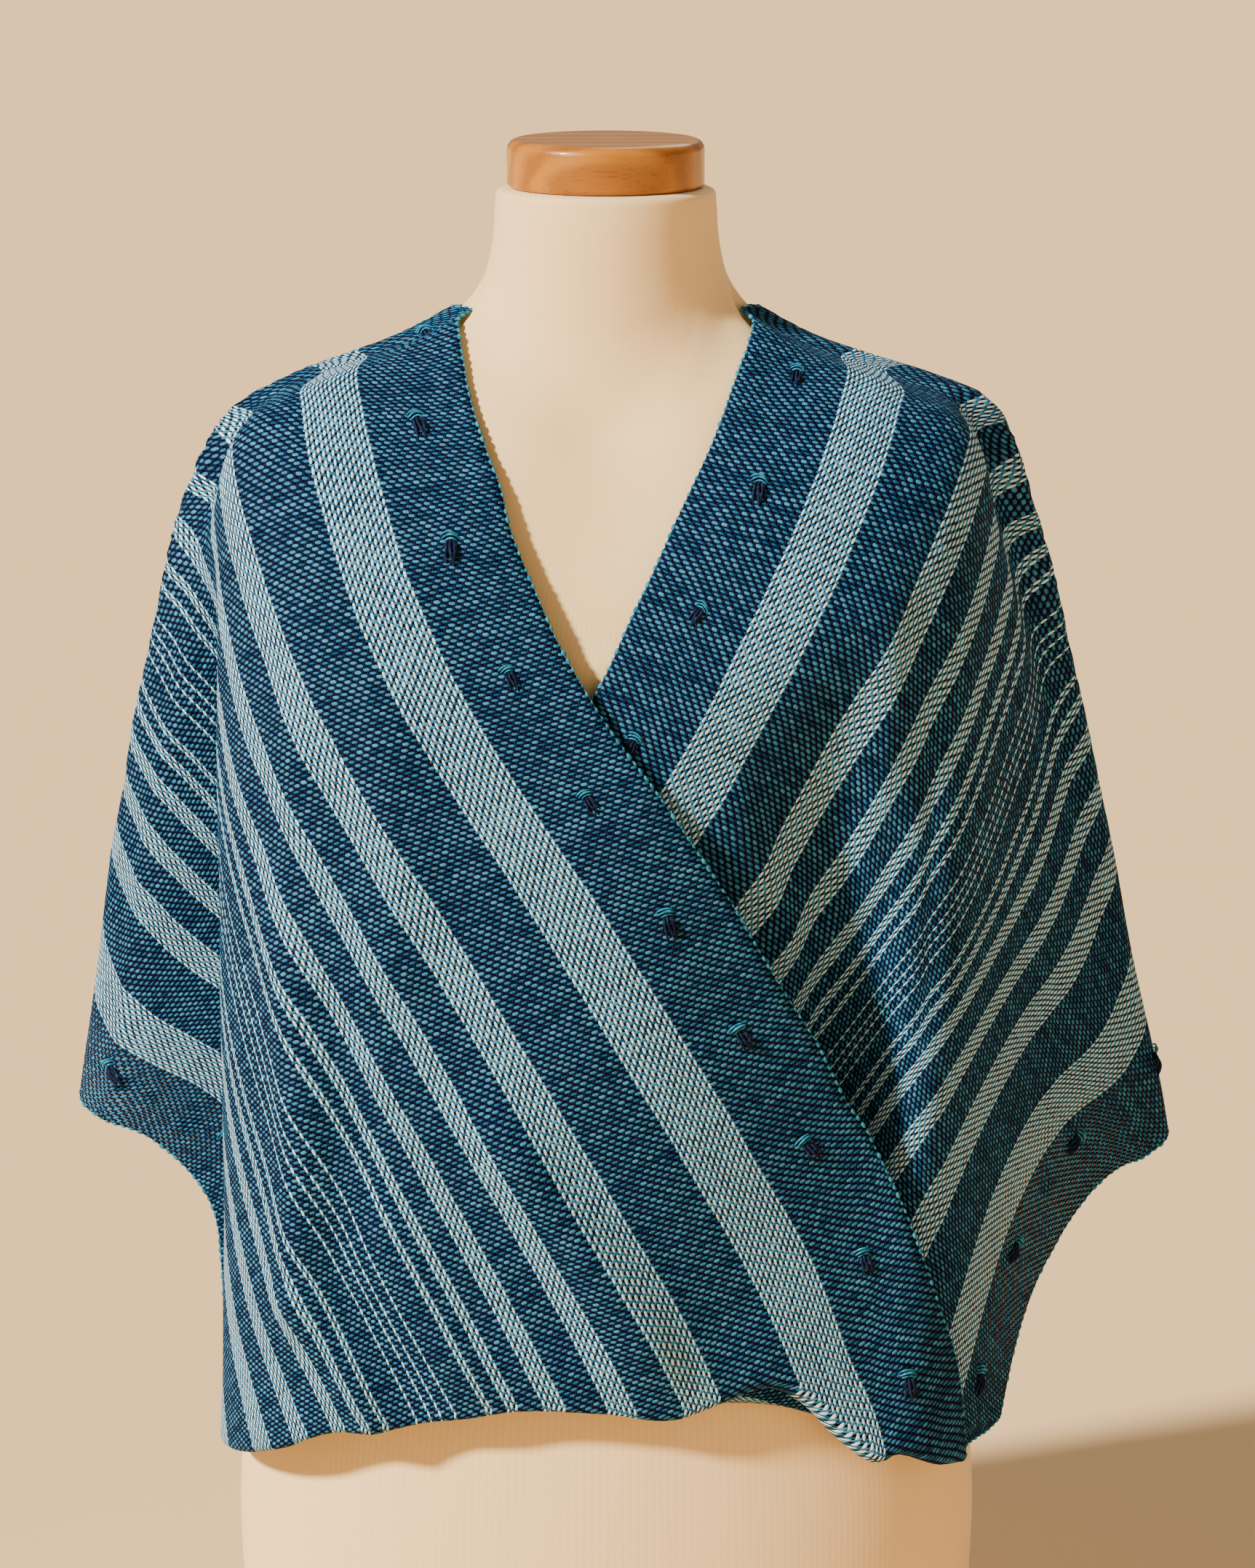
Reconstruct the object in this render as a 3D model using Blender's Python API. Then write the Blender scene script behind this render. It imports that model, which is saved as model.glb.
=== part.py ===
"""Handwoven band shawl with a half turn, worn over a limbless dress form.

The band is one long striped cloth whose ends are joined after half a turn. It runs
from the seam at the back over one shoulder, across the front, round the fold along
its bottom edge, up under itself and over the other shoulder to the same seam.
"""

from collections import namedtuple
import math

import bpy
import numpy as np

# The cloth
BAND_WIDTH = 0.472
WALL = 0.0016
SEAM_GAP = 0.0003
LAYER_GAP = 0.0064
TURN_UP = 0.012
TURN_UP_GAP = 0.0080
WING_EASE = (0.10, 0.06)
RIDGE_EASE = 0.42
SIDE_EASE = 0.16
TIP_EASE = 0.13
BACK_EASE = 0.20
RING_DROP = 0.07

# The dress form and its wooden neck cap
FORM_CLEARANCE = (0.0042, 0.0078)
CAP_RADIUS = 0.0487
CAP_BOTTOM_Z = 0.7443
CAP_HEIGHT = 0.0235
CAP_ROUNDING = 0.0050

# Rings of the hanging cloth from the neck down, one row for each ring: its height and
# depth at the middle of the front and of the back.
Middle = namedtuple("Middle", "front_z front_y back_z back_y")
MIDDLE = (
    Middle(0.655, -0.052, 0.682, 0.062),
    Middle(0.603, -0.085, 0.645, 0.088),
    Middle(0.553, -0.112, 0.600, 0.106),
    Middle(0.505, -0.126, 0.550, 0.114),
    Middle(0.455, -0.132, 0.495, 0.115),
    Middle(0.400, -0.133, 0.435, 0.112),
    Middle(0.335, -0.132, 0.355, 0.110),
    Middle(0.265, -0.128, 0.275, 0.114),
    Middle(0.200, -0.122, 0.205, 0.120),
    Middle(0.130, -0.116, 0.135, 0.124),
    Middle(0.060, -0.112, 0.065, 0.126),
    Middle(-0.01, -0.110, -0.005, 0.127),
)

# The same rings on each side: the height at the side, and where the ring passes the
# front ridge, the side of the body, the hollow behind it, the hanging edge of the
# wing with half of the wing's thickness, and the wing's root at the back.
Flank = namedtuple(
    "Flank",
    "side_z ridge_x ridge_y side_x side_y hollow_x hollow_y tip_x tip_y tip_half root_x root_y",
)
LEFT = (
    Flank(0.690, 0.028, -0.048, 0.050, -0.030, 0.060, -0.018, 0.066, 0.002, 0.008, 0.052, 0.038),
    Flank(0.670, 0.052, -0.078, 0.086, -0.046, 0.098, -0.026, 0.105, 0.004, 0.012, 0.086, 0.056),
    Flank(0.650, 0.090, -0.100, 0.126, -0.066, 0.140, -0.038, 0.156, 0.006, 0.016, 0.128, 0.070),
    Flank(0.627, 0.118, -0.108, 0.164, -0.066, 0.175, -0.038, 0.191, 0.006, 0.016, 0.156, 0.074),
    Flank(0.580, 0.140, -0.106, 0.179, -0.056, 0.187, -0.024, 0.212, 0.010, 0.018, 0.174, 0.072),
    Flank(0.520, 0.149, -0.102, 0.184, -0.048, 0.186, -0.008, 0.226, 0.016, 0.017, 0.180, 0.072),
    Flank(0.425, 0.149, -0.100, 0.184, -0.046, 0.176, -0.002, 0.245, 0.030, 0.016, 0.182, 0.076),
    Flank(0.345, 0.149, -0.098, 0.184, -0.045, 0.164, 0.003, 0.257, 0.040, 0.015, 0.186, 0.082),
    Flank(0.270, 0.149, -0.095, 0.184, -0.044, 0.162, 0.008, 0.268, 0.046, 0.015, 0.192, 0.086),
    Flank(0.190, 0.149, -0.092, 0.185, -0.042, 0.178, 0.010, 0.276, 0.048, 0.015, 0.196, 0.088),
    Flank(0.100, 0.149, -0.092, 0.186, -0.042, 0.190, 0.012, 0.282, 0.050, 0.015, 0.200, 0.090),
    Flank(0.000, 0.149, -0.092, 0.186, -0.042, 0.192, 0.012, 0.286, 0.050, 0.015, 0.204, 0.090),
)
RIGHT = (
    Flank(0.690, 0.028, -0.048, 0.050, -0.030, 0.060, -0.018, 0.066, 0.002, 0.008, 0.052, 0.038),
    Flank(0.670, 0.052, -0.078, 0.086, -0.046, 0.098, -0.026, 0.105, 0.004, 0.012, 0.086, 0.056),
    Flank(0.651, 0.090, -0.100, 0.128, -0.068, 0.144, -0.040, 0.160, 0.006, 0.016, 0.132, 0.070),
    Flank(0.632, 0.116, -0.110, 0.162, -0.072, 0.179, -0.040, 0.195, 0.006, 0.016, 0.160, 0.074),
    Flank(0.580, 0.124, -0.108, 0.168, -0.078, 0.193, -0.032, 0.215, 0.010, 0.018, 0.176, 0.072),
    Flank(0.520, 0.126, -0.102, 0.164, -0.082, 0.206, -0.020, 0.230, 0.020, 0.017, 0.180, 0.076),
    Flank(0.425, 0.126, -0.098, 0.160, -0.084, 0.212, -0.010, 0.251, 0.036, 0.016, 0.184, 0.084),
    Flank(0.345, 0.126, -0.094, 0.160, -0.084, 0.220, 0.000, 0.268, 0.052, 0.015, 0.190, 0.092),
    Flank(0.270, 0.127, -0.093, 0.160, -0.082, 0.226, 0.006, 0.285, 0.064, 0.015, 0.198, 0.098),
    Flank(0.190, 0.129, -0.093, 0.162, -0.079, 0.226, 0.010, 0.296, 0.070, 0.015, 0.204, 0.102),
    Flank(0.100, 0.131, -0.094, 0.164, -0.076, 0.226, 0.012, 0.304, 0.072, 0.015, 0.208, 0.104),
    Flank(0.000, 0.132, -0.095, 0.164, -0.074, 0.226, 0.012, 0.310, 0.072, 0.015, 0.212, 0.104),
)
# Where the inner layer passes the front ridge on the right, drawn in to the waist
INNER_RIDGE = namedtuple("InnerRidge", "ridge_x ridge_y")
RIGHT_INNER = (
    INNER_RIDGE(0.028, -0.048),
    INNER_RIDGE(0.052, -0.078),
    INNER_RIDGE(0.090, -0.100),
    INNER_RIDGE(0.116, -0.108),
    INNER_RIDGE(0.118, -0.098),
    INNER_RIDGE(0.116, -0.086),
    INNER_RIDGE(0.112, -0.074),
    INNER_RIDGE(0.112, -0.070),
    INNER_RIDGE(0.117, -0.083),
    INNER_RIDGE(0.121, -0.087),
    INNER_RIDGE(0.125, -0.090),
    INNER_RIDGE(0.126, -0.092),
)

# Places along a ring are counted from the middle of the front round the left side
BACK = 9
ROUND = 18

# The neck edge of the band on the rings, from the bottom corner on the right, up the
# neckline on the left, round the back and down the right neckline under the front.
Edge = namedtuple("Edge", "place ring")
NECK_EDGE = (
    Edge(-2.24, 10.9), Edge(-2.20, 9.92), Edge(-2.08, 9.00), Edge(-1.62, 8.00), Edge(-0.99, 6.92),
    Edge(-0.74, 6.13), Edge(-0.56, 5.50), Edge(-0.40, 4.79), Edge(-0.185, 3.82),
    Edge(0.02, 3.07), Edge(0.18, 2.51), Edge(0.41, 1.85), Edge(0.77, 1.30),
    Edge(0.97, 1.12), Edge(1.52, 0.81), Edge(2.20, 0.50), Edge(3.00, 0.34),
    Edge(4.00, 0.28), Edge(5.00, 0.27), Edge(6.00, 0.30), Edge(7.00, 0.40),
    Edge(8.00, 0.52), Edge(9.00, 0.57), Edge(10.0, 0.52), Edge(11.0, 0.40),
    Edge(12.0, 0.30), Edge(13.0, 0.27), Edge(14.0, 0.28), Edge(15.0, 0.34),
    Edge(15.6, 0.45), Edge(16.18, 0.57), Edge(16.65, 0.76), Edge(17.08, 1.00),
    Edge(17.42, 1.27), Edge(17.64, 1.57), Edge(17.80, 1.92), Edge(17.89, 2.20),
    Edge(17.98, 2.59), Edge(18.05, 2.90), Edge(18.15, 3.40), Edge(18.31, 4.20),
    Edge(18.53, 5.00), Edge(18.78, 5.80), Edge(19.03, 6.50), Edge(19.48, 7.40),
    Edge(20.00, 8.20), Edge(20.50, 9.00), Edge(20.90, 9.90), Edge(21.10, 10.8),
)

# First guess of where each crossing thread meets the far edge; the thread's start is
# measured along the neck edge from the middle of the back.
Far = namedtuple("Far", "start place ring")
FAR_EDGE = (
    Far(-0.94, 1.6, 14.0), Far(-0.86, 1.8, 13.2), Far(-0.70, 2.2, 11.6), Far(-0.58, 2.4, 10.6),
    Far(-0.50, 2.8, 10.0), Far(-0.40, 3.5, 9.0), Far(-0.30, 5.0, 8.0),
    Far(-0.13, 7.0, 8.0), Far(0.0, 9.0, 8.4), Far(0.13, 11.0, 8.0),
    Far(0.30, 13.0, 8.1), Far(0.40, 14.4, 9.0), Far(0.50, 15.5, 9.8),
    Far(0.60, 15.7, 10.8), Far(0.72, 16.0, 11.8), Far(0.95, 16.6, 14.4),
)

# Height of the fold along the bottom of the front, from the right corner to the left
Fold = namedtuple("Fold", "place height")
BOTTOM_FOLD = (
    Fold(-2.6, 0.1130), Fold(-2.0, 0.1190), Fold(-1.4, 0.1300), Fold(-1.0, 0.1305),
    Fold(-0.88, 0.1405), Fold(-0.78, 0.1540), Fold(-0.70, 0.1625), Fold(-0.60, 0.1690),
    Fold(-0.50, 0.1670), Fold(-0.38, 0.1600), Fold(-0.25, 0.1540), Fold(0.0, 0.1570),
    Fold(0.25, 0.1585), Fold(0.6, 0.1475), Fold(0.9, 0.1400), Fold(1.0, 0.1350),
    Fold(1.3, 0.1270), Fold(1.6, 0.1220), Fold(2.0, 0.1185), Fold(2.5, 0.1190),
    Fold(3.2, 0.1210), Fold(4.0, 0.1210),
)

# The stretches of the band, from the right bottom corner round to the left one. Starts
# and ends are measured along the neck edge from the back seam.
SHOULDER_END = 0.36
BACK_END = 0.105
ALONG_STEPS = {"front_crossing": 22, "shoulder": 23, "back": 6, "front_under": 20}
ACROSS_STEPS = 28
ROLL_STEPS = 5
TURN_UP_STEPS = 2

# The dress form: the neck above the cloth, the rings of the cloth that its shoulders
# fill, and the body below them, one row for each ring from the neck down to the base.
Body = namedtuple("Body", "front_z back_z side_z half_width front_y back_y")
NECK = (
    Body(0.7440, 0.7440, 0.7440, 0.0505, -0.0482, 0.0528),
    Body(0.7425, 0.7425, 0.7425, 0.0535, -0.0512, 0.0558),
    Body(0.7365, 0.7365, 0.7365, 0.0545, -0.0522, 0.0568),
    Body(0.7150, 0.7220, 0.7235, 0.0553, -0.0515, 0.0568),
    Body(0.6920, 0.7080, 0.7117, 0.0570, -0.0503, 0.0575),
    Body(0.6720, 0.6940, 0.7005, 0.0600, -0.0500, 0.0588),
)
SHOULDER_RINGS = (0.35, 0.7, 1.1, 1.5, 1.9, 2.3)
BODY = (
    Body(0.520, 0.560, 0.600, 0.168, -0.116, 0.101),
    Body(0.480, 0.515, 0.550, 0.159, -0.119, 0.103),
    Body(0.435, 0.462, 0.488, 0.147, -0.118, 0.102),
    Body(0.388, 0.405, 0.422, 0.135, -0.110, 0.096),
    Body(0.335, 0.342, 0.350, 0.127, -0.102, 0.090),
    Body(0.280, 0.282, 0.285, 0.133, -0.098, 0.090),
    Body(0.230, 0.230, 0.230, 0.152, -0.098, 0.095),
    Body(0.180, 0.180, 0.180, 0.171, -0.101, 0.103),
    Body(0.130, 0.130, 0.130, 0.182, -0.104, 0.109),
    Body(0.080, 0.080, 0.080, 0.186, -0.105, 0.111),
    Body(0.030, 0.030, 0.030, 0.184, -0.103, 0.110),
    Body(0.004, 0.004, 0.004, 0.182, -0.102, 0.109),
    Body(0.000, 0.000, 0.000, 0.178, -0.098, 0.105),
)
# The angle round the body, in degrees, that answers to each place along a ring
ANGLES = (0, 50, 67, 77, 84, 90, 96, 113, 143, 180)
FORM_AROUND = 80
CAP_AROUND = 40

# Size of the net that lays the cloth, and how long it is worked
NET_STEP = 0.02
NET_ACROSS = 24
NET_ROUNDS = 400
NET_CALM = (0.16, 0.05)
HIGHEST_RING = 0.27
RINGS_DOWN = 6.0


def smooth(at, knots, values):
    """Read a table between its rows along a smooth curve."""
    knots = np.asarray(knots, float)
    values = np.asarray(values, float)
    extra = (1,) * (values.ndim - 1)
    gaps = np.diff(knots)
    slopes = np.diff(values, axis=0) / gaps.reshape(-1, *extra)
    share = (gaps[:-1] / (gaps[:-1] + gaps[1:])).reshape(-1, *extra)
    tangents = np.concatenate([slopes[:1], slopes[:-1] * (1 - share) + slopes[1:] * share, slopes[-1:]])
    at = np.clip(at, knots[0], knots[-1])
    row = np.clip(np.searchsorted(knots, at, side="right") - 1, 0, len(gaps) - 1)
    width = gaps[row].reshape(-1, *extra)
    f = (at - knots[row]).reshape(-1, *extra) / width
    start, end = values[row], values[row + 1]
    return (
        (2 * f**3 - 3 * f**2 + 1) * start + (f**3 - 2 * f**2 + f) * width * tangents[row]
        + (3 * f**2 - 2 * f**3) * end + (f**3 - f**2) * width * tangents[row + 1]
    )


def ease_between(value, low, high):
    """Return 0 below low, 1 above high and a soft step between them."""
    f = np.clip((value - low) / (high - low), 0, 1)
    return f * f * (3 - 2 * f)


def ring_points(middle, flank):
    """Return the ten named points of a ring on one side, x outwards."""
    front_z, front_y, back_z, back_y = np.moveaxis(middle, -1, 0)
    (side_z, ridge_x, ridge_y, side_x, side_y, hollow_x, hollow_y,
     tip_x, tip_y, tip_half, root_x, root_y) = np.moveaxis(flank, -1, 0)
    zero = 0 * front_z
    shoulder_x = tip_x - 1.1 * tip_half
    points = (
        (zero, front_y, front_z),
        (ridge_x, ridge_y, 0.72 * front_z + 0.28 * side_z),
        (side_x, side_y, 0.25 * front_z + 0.75 * side_z),
        (hollow_x, hollow_y, 0.06 * front_z + 0.94 * side_z),
        (shoulder_x, tip_y - tip_half, side_z),
        (tip_x, tip_y, side_z),
        (shoulder_x, tip_y + tip_half, side_z),
        (root_x, root_y, 0.80 * side_z + 0.20 * back_z),
        (0.62 * root_x, 0.25 * root_y + 0.75 * back_y, 0.30 * side_z + 0.70 * back_z),
        (zero, back_y, back_z),
    )
    return np.stack([np.stack(point, -1) for point in points], -2)


def hanging_surface(place, ring):
    """Return the points of the surface that the cloth hangs in."""
    shape = np.shape(place)
    turn = np.ravel(place).astype(float)
    ring = np.ravel(ring).astype(float)
    below = np.maximum(ring - (len(MIDDLE) - 1), 0)
    ring = np.clip(ring, 0, len(MIDDLE) - 1)
    place = np.mod(turn + BACK, ROUND) - BACK
    on_left = place >= 0
    knots = np.arange(len(MIDDLE))
    right = np.array(RIGHT)
    inner = right.copy()
    inner[:, 1:3] = np.array(RIGHT_INNER)
    middle = smooth(ring, knots, MIDDLE)
    flank = np.where(on_left[:, None], smooth(ring, knots, LEFT), smooth(ring, knots, right))
    is_inner = (turn > BACK) & ~on_left
    flank = np.where(is_inner[:, None], smooth(ring, knots, inner), flank)
    points = ring_points(middle, flank)
    mirror = np.array([-1.0, 1.0, 1.0])
    points = np.concatenate([points[:, 1:2] * mirror, points, points[:, 8:9] * mirror], axis=1)
    along = np.clip(np.abs(place), 0, BACK)
    first = np.clip(np.floor(along).astype(int), 0, BACK - 1)
    f = (along - first)[:, None]
    rows = np.arange(len(along))
    a, b, c, d = (points[rows, first + k] for k in range(4))
    ab, bc, cd = (np.sqrt(np.linalg.norm(q - p, axis=1))[:, None] for p, q in ((a, b), (b, c), (c, d)))
    start = ((b - a) / ab - (c - a) / (ab + bc) + (c - b) / bc) * bc
    end = ((c - b) / bc - (d - b) / (bc + cd) + (d - c) / cd) * bc
    found = (
        (2 * f**3 - 3 * f**2 + 1) * b + (f**3 - 2 * f**2 + f) * start
        + (3 * f**2 - 2 * f**3) * c + (f**3 - f**2) * end
    )
    found[:, 0] *= np.where(on_left, -1, 1)
    found[:, 2] -= RING_DROP * below
    return found.reshape(shape + (3,))


def surface_slopes(place, ring, step=0.003):
    """Return how the hanging surface moves along a ring and from ring to ring."""
    mid = np.maximum(ring, step)
    along = hanging_surface(place + step, ring) - hanging_surface(place - step, ring)
    down = hanging_surface(place, mid + step) - hanging_surface(place, mid - step)
    return along / (2 * step), down / (2 * step)


def surface_normals(place, ring):
    """Return the outward normals of the hanging surface."""
    along, down = surface_slopes(place, ring)
    normal = np.cross(along, down)
    return normal / np.linalg.norm(normal, axis=-1, keepdims=True)


def running_length(points):
    """Return the length along a row of points up to each of them."""
    steps = np.linalg.norm(np.diff(points, axis=0), axis=-1)
    return np.concatenate([[0.0], np.cumsum(steps)])


def neck_edge_curve():
    """Return fine places and rings along the neck edge with their distance from the seam."""
    rows = np.array(NECK_EDGE)
    fine = smooth(np.linspace(0, len(rows) - 1, 2400), np.arange(len(rows)), rows)
    length = running_length(hanging_surface(fine[:, 0], fine[:, 1]))
    return fine, length - np.interp(BACK, fine[:, 0], length)


def lay_band():
    """Lay the band in the hanging surface as a net of threads that keep their lengths."""
    fine, distance = neck_edge_curve()
    start = np.arange(math.ceil(distance[0] / NET_STEP), int(distance[-1] / NET_STEP) + 1) * NET_STEP
    far = np.array(FAR_EDGE)
    share = np.linspace(0, 1, NET_ACROSS + 1)
    near_place = np.interp(start, distance, fine[:, 0])[:, None]
    near_ring = np.interp(start, distance, fine[:, 1])[:, None]
    far_place = np.interp(start, far[:, 0], far[:, 1])[:, None]
    far_ring = np.interp(start, far[:, 0], far[:, 2])[:, None]
    place = near_place * (1 - share) + far_place * share
    ring = near_ring * (1 - share) + far_ring * share
    in_wing = ease_between(np.abs(start), 0.15, 0.34)[:, None] * ease_between(share[1:], 0.25, 0.60)
    at_ridge = ease_between(share[1:], 0.30, 0.45) - ease_between(share[1:], 0.60, 0.76)
    at_ridge = ease_between(start, 0.28, 0.42)[:, None] * at_ridge
    at_side = ease_between(-start, 0.37, 0.47)[:, None] * ease_between(share[1:], 0.40, 0.60)
    at_tip = ease_between(-start, 0.08, 0.24) - ease_between(-start, 0.31, 0.46)
    at_tip = at_tip[:, None] * ease_between(share[1:], 0.25, 0.55)
    wing_ease = np.where(start < 0, *WING_EASE)[:, None]
    slack = wing_ease * in_wing + RIDGE_EASE * at_ridge + SIDE_EASE * at_side + TIP_EASE * at_tip
    across = BAND_WIDTH / NET_ACROSS * (1 - slack)[..., None]
    on_back = 1 - ease_between(np.abs(start), 0.14, 0.30)[:, None]
    along = NET_STEP * (1 + BACK_EASE * on_back * ease_between(share, 0.04, 0.30))[..., None]
    at_seam = np.argmin(np.abs(start))
    behind_neck = 1 - ease_between(np.abs(start), 0.13, 0.20)[:, None]
    highest = HIGHEST_RING + (near_ring + RINGS_DOWN * share - HIGHEST_RING) * behind_neck
    for calm in np.linspace(*NET_CALM, NET_ROUNDS):
        points = hanging_surface(place, ring)
        pull = np.zeros_like(points)
        weight = np.zeros(points.shape[:2])

        def tie(one, two, rest, strength):
            span = points[two] - points[one]
            length = np.linalg.norm(span, axis=-1, keepdims=True) + 1e-9
            move = strength * 0.5 * (length - rest) / length * span
            pull[one] += move
            pull[two] -= move
            weight[one] += strength
            weight[two] += strength

        every = np.s_
        tie(every[:-1, :], every[1:, :], along[:-1], 1.0)
        tie(every[:, :-1], every[:, 1:], across, 1.0)
        tie(every[:-2, :], every[2:, :], 2 * along[1:-1], 0.35)
        tie(every[:, :-2], every[:, 2:], across[:, :-1] + across[:, 1:], 0.35)
        slant = np.hypot(along[:-1, 1:], across[:-1])
        tie(every[:-1, :-1], every[1:, 1:], slant, 0.14)
        tie(every[1:, :-1], every[:-1, 1:], slant, 0.14)
        pull *= 1.6 / weight[..., None]
        pull[:, 0] = 0
        slope_along, slope_down = surface_slopes(place, ring)
        aa = np.sum(slope_along**2, -1) + 1e-7
        ab = np.sum(slope_along * slope_down, -1)
        bb = np.sum(slope_down**2, -1) + 1e-7
        pa = np.sum(slope_along * pull, -1)
        pb = np.sum(slope_down * pull, -1)
        spread = aa * bb - ab * ab
        place += np.clip((bb * pa - ab * pb) / spread, -0.15, 0.15)
        ring += np.clip((aa * pb - ab * pa) / spread, -0.15, 0.15)
        ring = np.maximum(ring, highest)
        place[at_seam] = BACK
        for grid in (place, ring):
            beside = grid[:-2, 1:-1] + grid[2:, 1:-1] + grid[1:-1, :-2] + grid[1:-1, 2:]
            grid[1:-1, 1:-1] += calm * (beside / 4 - grid[1:-1, 1:-1])
            grid[1:-1, -1] += calm * ((grid[:-2, -1] + grid[2:, -1]) / 2 - grid[1:-1, -1])
    return start, place, ring


def fold_height(place):
    """Return the height of the bottom fold at places on the front."""
    rows = np.array(BOTTOM_FOLD)
    return smooth(np.ravel(place), rows[:, 0], rows[:, 1]).reshape(np.shape(place))


def layer_lift(place, ring):
    """Return how far the crossing layer lies outside the layer under it."""
    round_side = 1 - ease_between(place, 3.2, 5.5)
    below_neck = ease_between(ring, 0.8, 2.9)
    return LAYER_GAP * round_side * below_neck


def cloth_points(place, ring):
    """Return the middle surface of the cloth at places and rings of the band."""
    lift = layer_lift(place, ring)[..., None]
    return hanging_surface(place, ring) + surface_normals(place, ring) * lift


class Band:
    """The laid band, read anywhere between its threads."""

    def __init__(self):
        self.start, self.place, self.ring = lay_band()
        self.across = np.linspace(0, 1, NET_ACROSS + 1)

    def read(self, start, share):
        """Return place and ring at distances along the band and shares across it."""
        lines = np.stack([self.place, self.ring], -1)
        at_share = smooth(np.ravel(share), self.across, np.moveaxis(lines, 1, 0))
        rows = np.arange(len(at_share))
        knots = self.start
        found = np.empty((len(rows), 2))
        for row in rows:
            found[row] = smooth(np.ravel(start)[row:row + 1], knots, at_share[row])[0]
        shape = np.shape(share)
        return found[:, 0].reshape(shape), found[:, 1].reshape(shape)

    def fold_start(self, share, front, raise_by=0.0):
        """Return where each lengthwise thread meets the bottom fold."""
        if front == "crossing":
            guess = np.linspace(self.start[0], -0.30, 400)
        else:
            guess = np.linspace(self.start[-1], 0.30, 400)
        starts = []
        for one in share:
            place, ring = self.read(guess, np.full(len(guess), one))
            height = hanging_surface(place, ring)[:, 2]
            on_front = place if front == "crossing" else place - ROUND
            above = height - fold_height(on_front) - raise_by
            inside = np.nonzero(above <= 0)[0]
            last = inside[-1] if len(inside) else 0
            last = min(last, len(guess) - 2)
            f = above[last] / (above[last] - above[last + 1]) if len(inside) else 0.0
            starts.append(guess[last] + f * (guess[last + 1] - guess[last]))
        return np.array(starts)


def new_material(name, colour, roughness):
    """Make a plain Principled material."""
    material = bpy.data.materials.new(name)
    material.use_nodes = True
    shader = material.node_tree.nodes["Principled BSDF"]
    shader.inputs["Base Color"].default_value = (*colour, 1.0)
    shader.inputs["Roughness"].default_value = roughness
    return material


def add_object(name, vertices, faces, material, collection):
    """Make a smooth mesh object in the part's collection."""
    mesh = bpy.data.meshes.new(name)
    mesh.from_pydata([tuple(map(float, vertex)) for vertex in vertices], [], faces)
    mesh.polygons.foreach_set("use_smooth", [True] * len(mesh.polygons))
    mesh.update()
    mesh.materials.append(material)
    part = bpy.data.objects.new(name, mesh)
    collection.objects.link(part)
    return part


def add_cloth(name, points, normals, material, collection):
    """Make a cloth stretch: a grid of points given its wall square to the surface."""
    rows, columns = points.shape[:2]
    outer = np.arange(rows * columns).reshape(rows, columns)
    inner = outer + rows * columns
    corners = (outer[:-1, :-1], outer[1:, :-1], outer[1:, 1:], outer[:-1, 1:])
    faces = np.stack(corners, -1).reshape(-1, 4).tolist()
    corners = (inner[:-1, :-1], inner[:-1, 1:], inner[1:, 1:], inner[1:, :-1])
    faces += np.stack(corners, -1).reshape(-1, 4).tolist()
    rim = np.concatenate([outer[0, :-1], outer[:-1, -1], outer[-1, :0:-1], outer[:0:-1, 0]])
    after = np.roll(rim, -1)
    faces += np.stack([rim, after, after + rows * columns, rim + rows * columns], -1).tolist()
    half_wall = normals * WALL / 2
    vertices = np.concatenate([points + half_wall, points - half_wall]).reshape(-1, 3)
    return add_object(name, vertices, faces, material, collection)


def add_loft(name, rings, material, collection):
    """Make a solid through closed rings, top ring first, closed by flat ends."""
    count, around = rings.shape[:2]
    index = np.arange(count * around).reshape(count, around)
    after = np.roll(index, -1, axis=1)
    corners = (index[:-1], after[:-1], after[1:], index[1:])
    faces = np.stack(corners, -1).reshape(-1, 4).tolist()
    faces += [index[0][::-1].tolist(), index[-1].tolist()]
    return add_object(name, rings.reshape(-1, 3), faces, material, collection)


def bottom_roll(place, ring):
    """Return the fold at the bottom: round from the outer layer to the inner one, then up."""
    outer = cloth_points(place, ring)
    inner = hanging_surface(place + ROUND, ring)
    middle, half = (outer + inner) / 2, (outer - inner) / 2
    depth = np.linalg.norm(half, axis=-1, keepdims=True)
    down = np.array([0.0, 0.0, -1.0]) * np.minimum(depth, LAYER_GAP)
    rows = []
    for step in range(1, ROLL_STEPS + 1):
        angle = math.pi * step / ROLL_STEPS
        rows.append(middle + half * math.cos(angle) + down * math.sin(angle))
    drop = surface_slopes(place + ROUND, ring)[1][:, 2]
    for step in range(1, TURN_UP_STEPS + 1):
        raised = ring - TURN_UP * step / TURN_UP_STEPS / np.abs(drop)
        rows.append(hanging_surface(place + ROUND, raised))
    return np.array(rows)


def grid_normals(points):
    """Return the normals of a grid of points, outwards where it faces away from the body."""
    along = np.gradient(points, axis=0)
    across = np.gradient(points, axis=1)
    normal = np.cross(along, across)
    return normal / np.linalg.norm(normal, axis=-1, keepdims=True)


def stretch_points(band, first, last, steps, share):
    """Return a grid of points between two starts, each a number or one for each thread."""
    f = np.linspace(0, 1, steps + 1)[:, None]
    start = first * (1 - f) + last * f + 0 * share
    place, ring = band.read(start, share + 0 * start)
    return cloth_points(place, ring), place, ring


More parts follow.
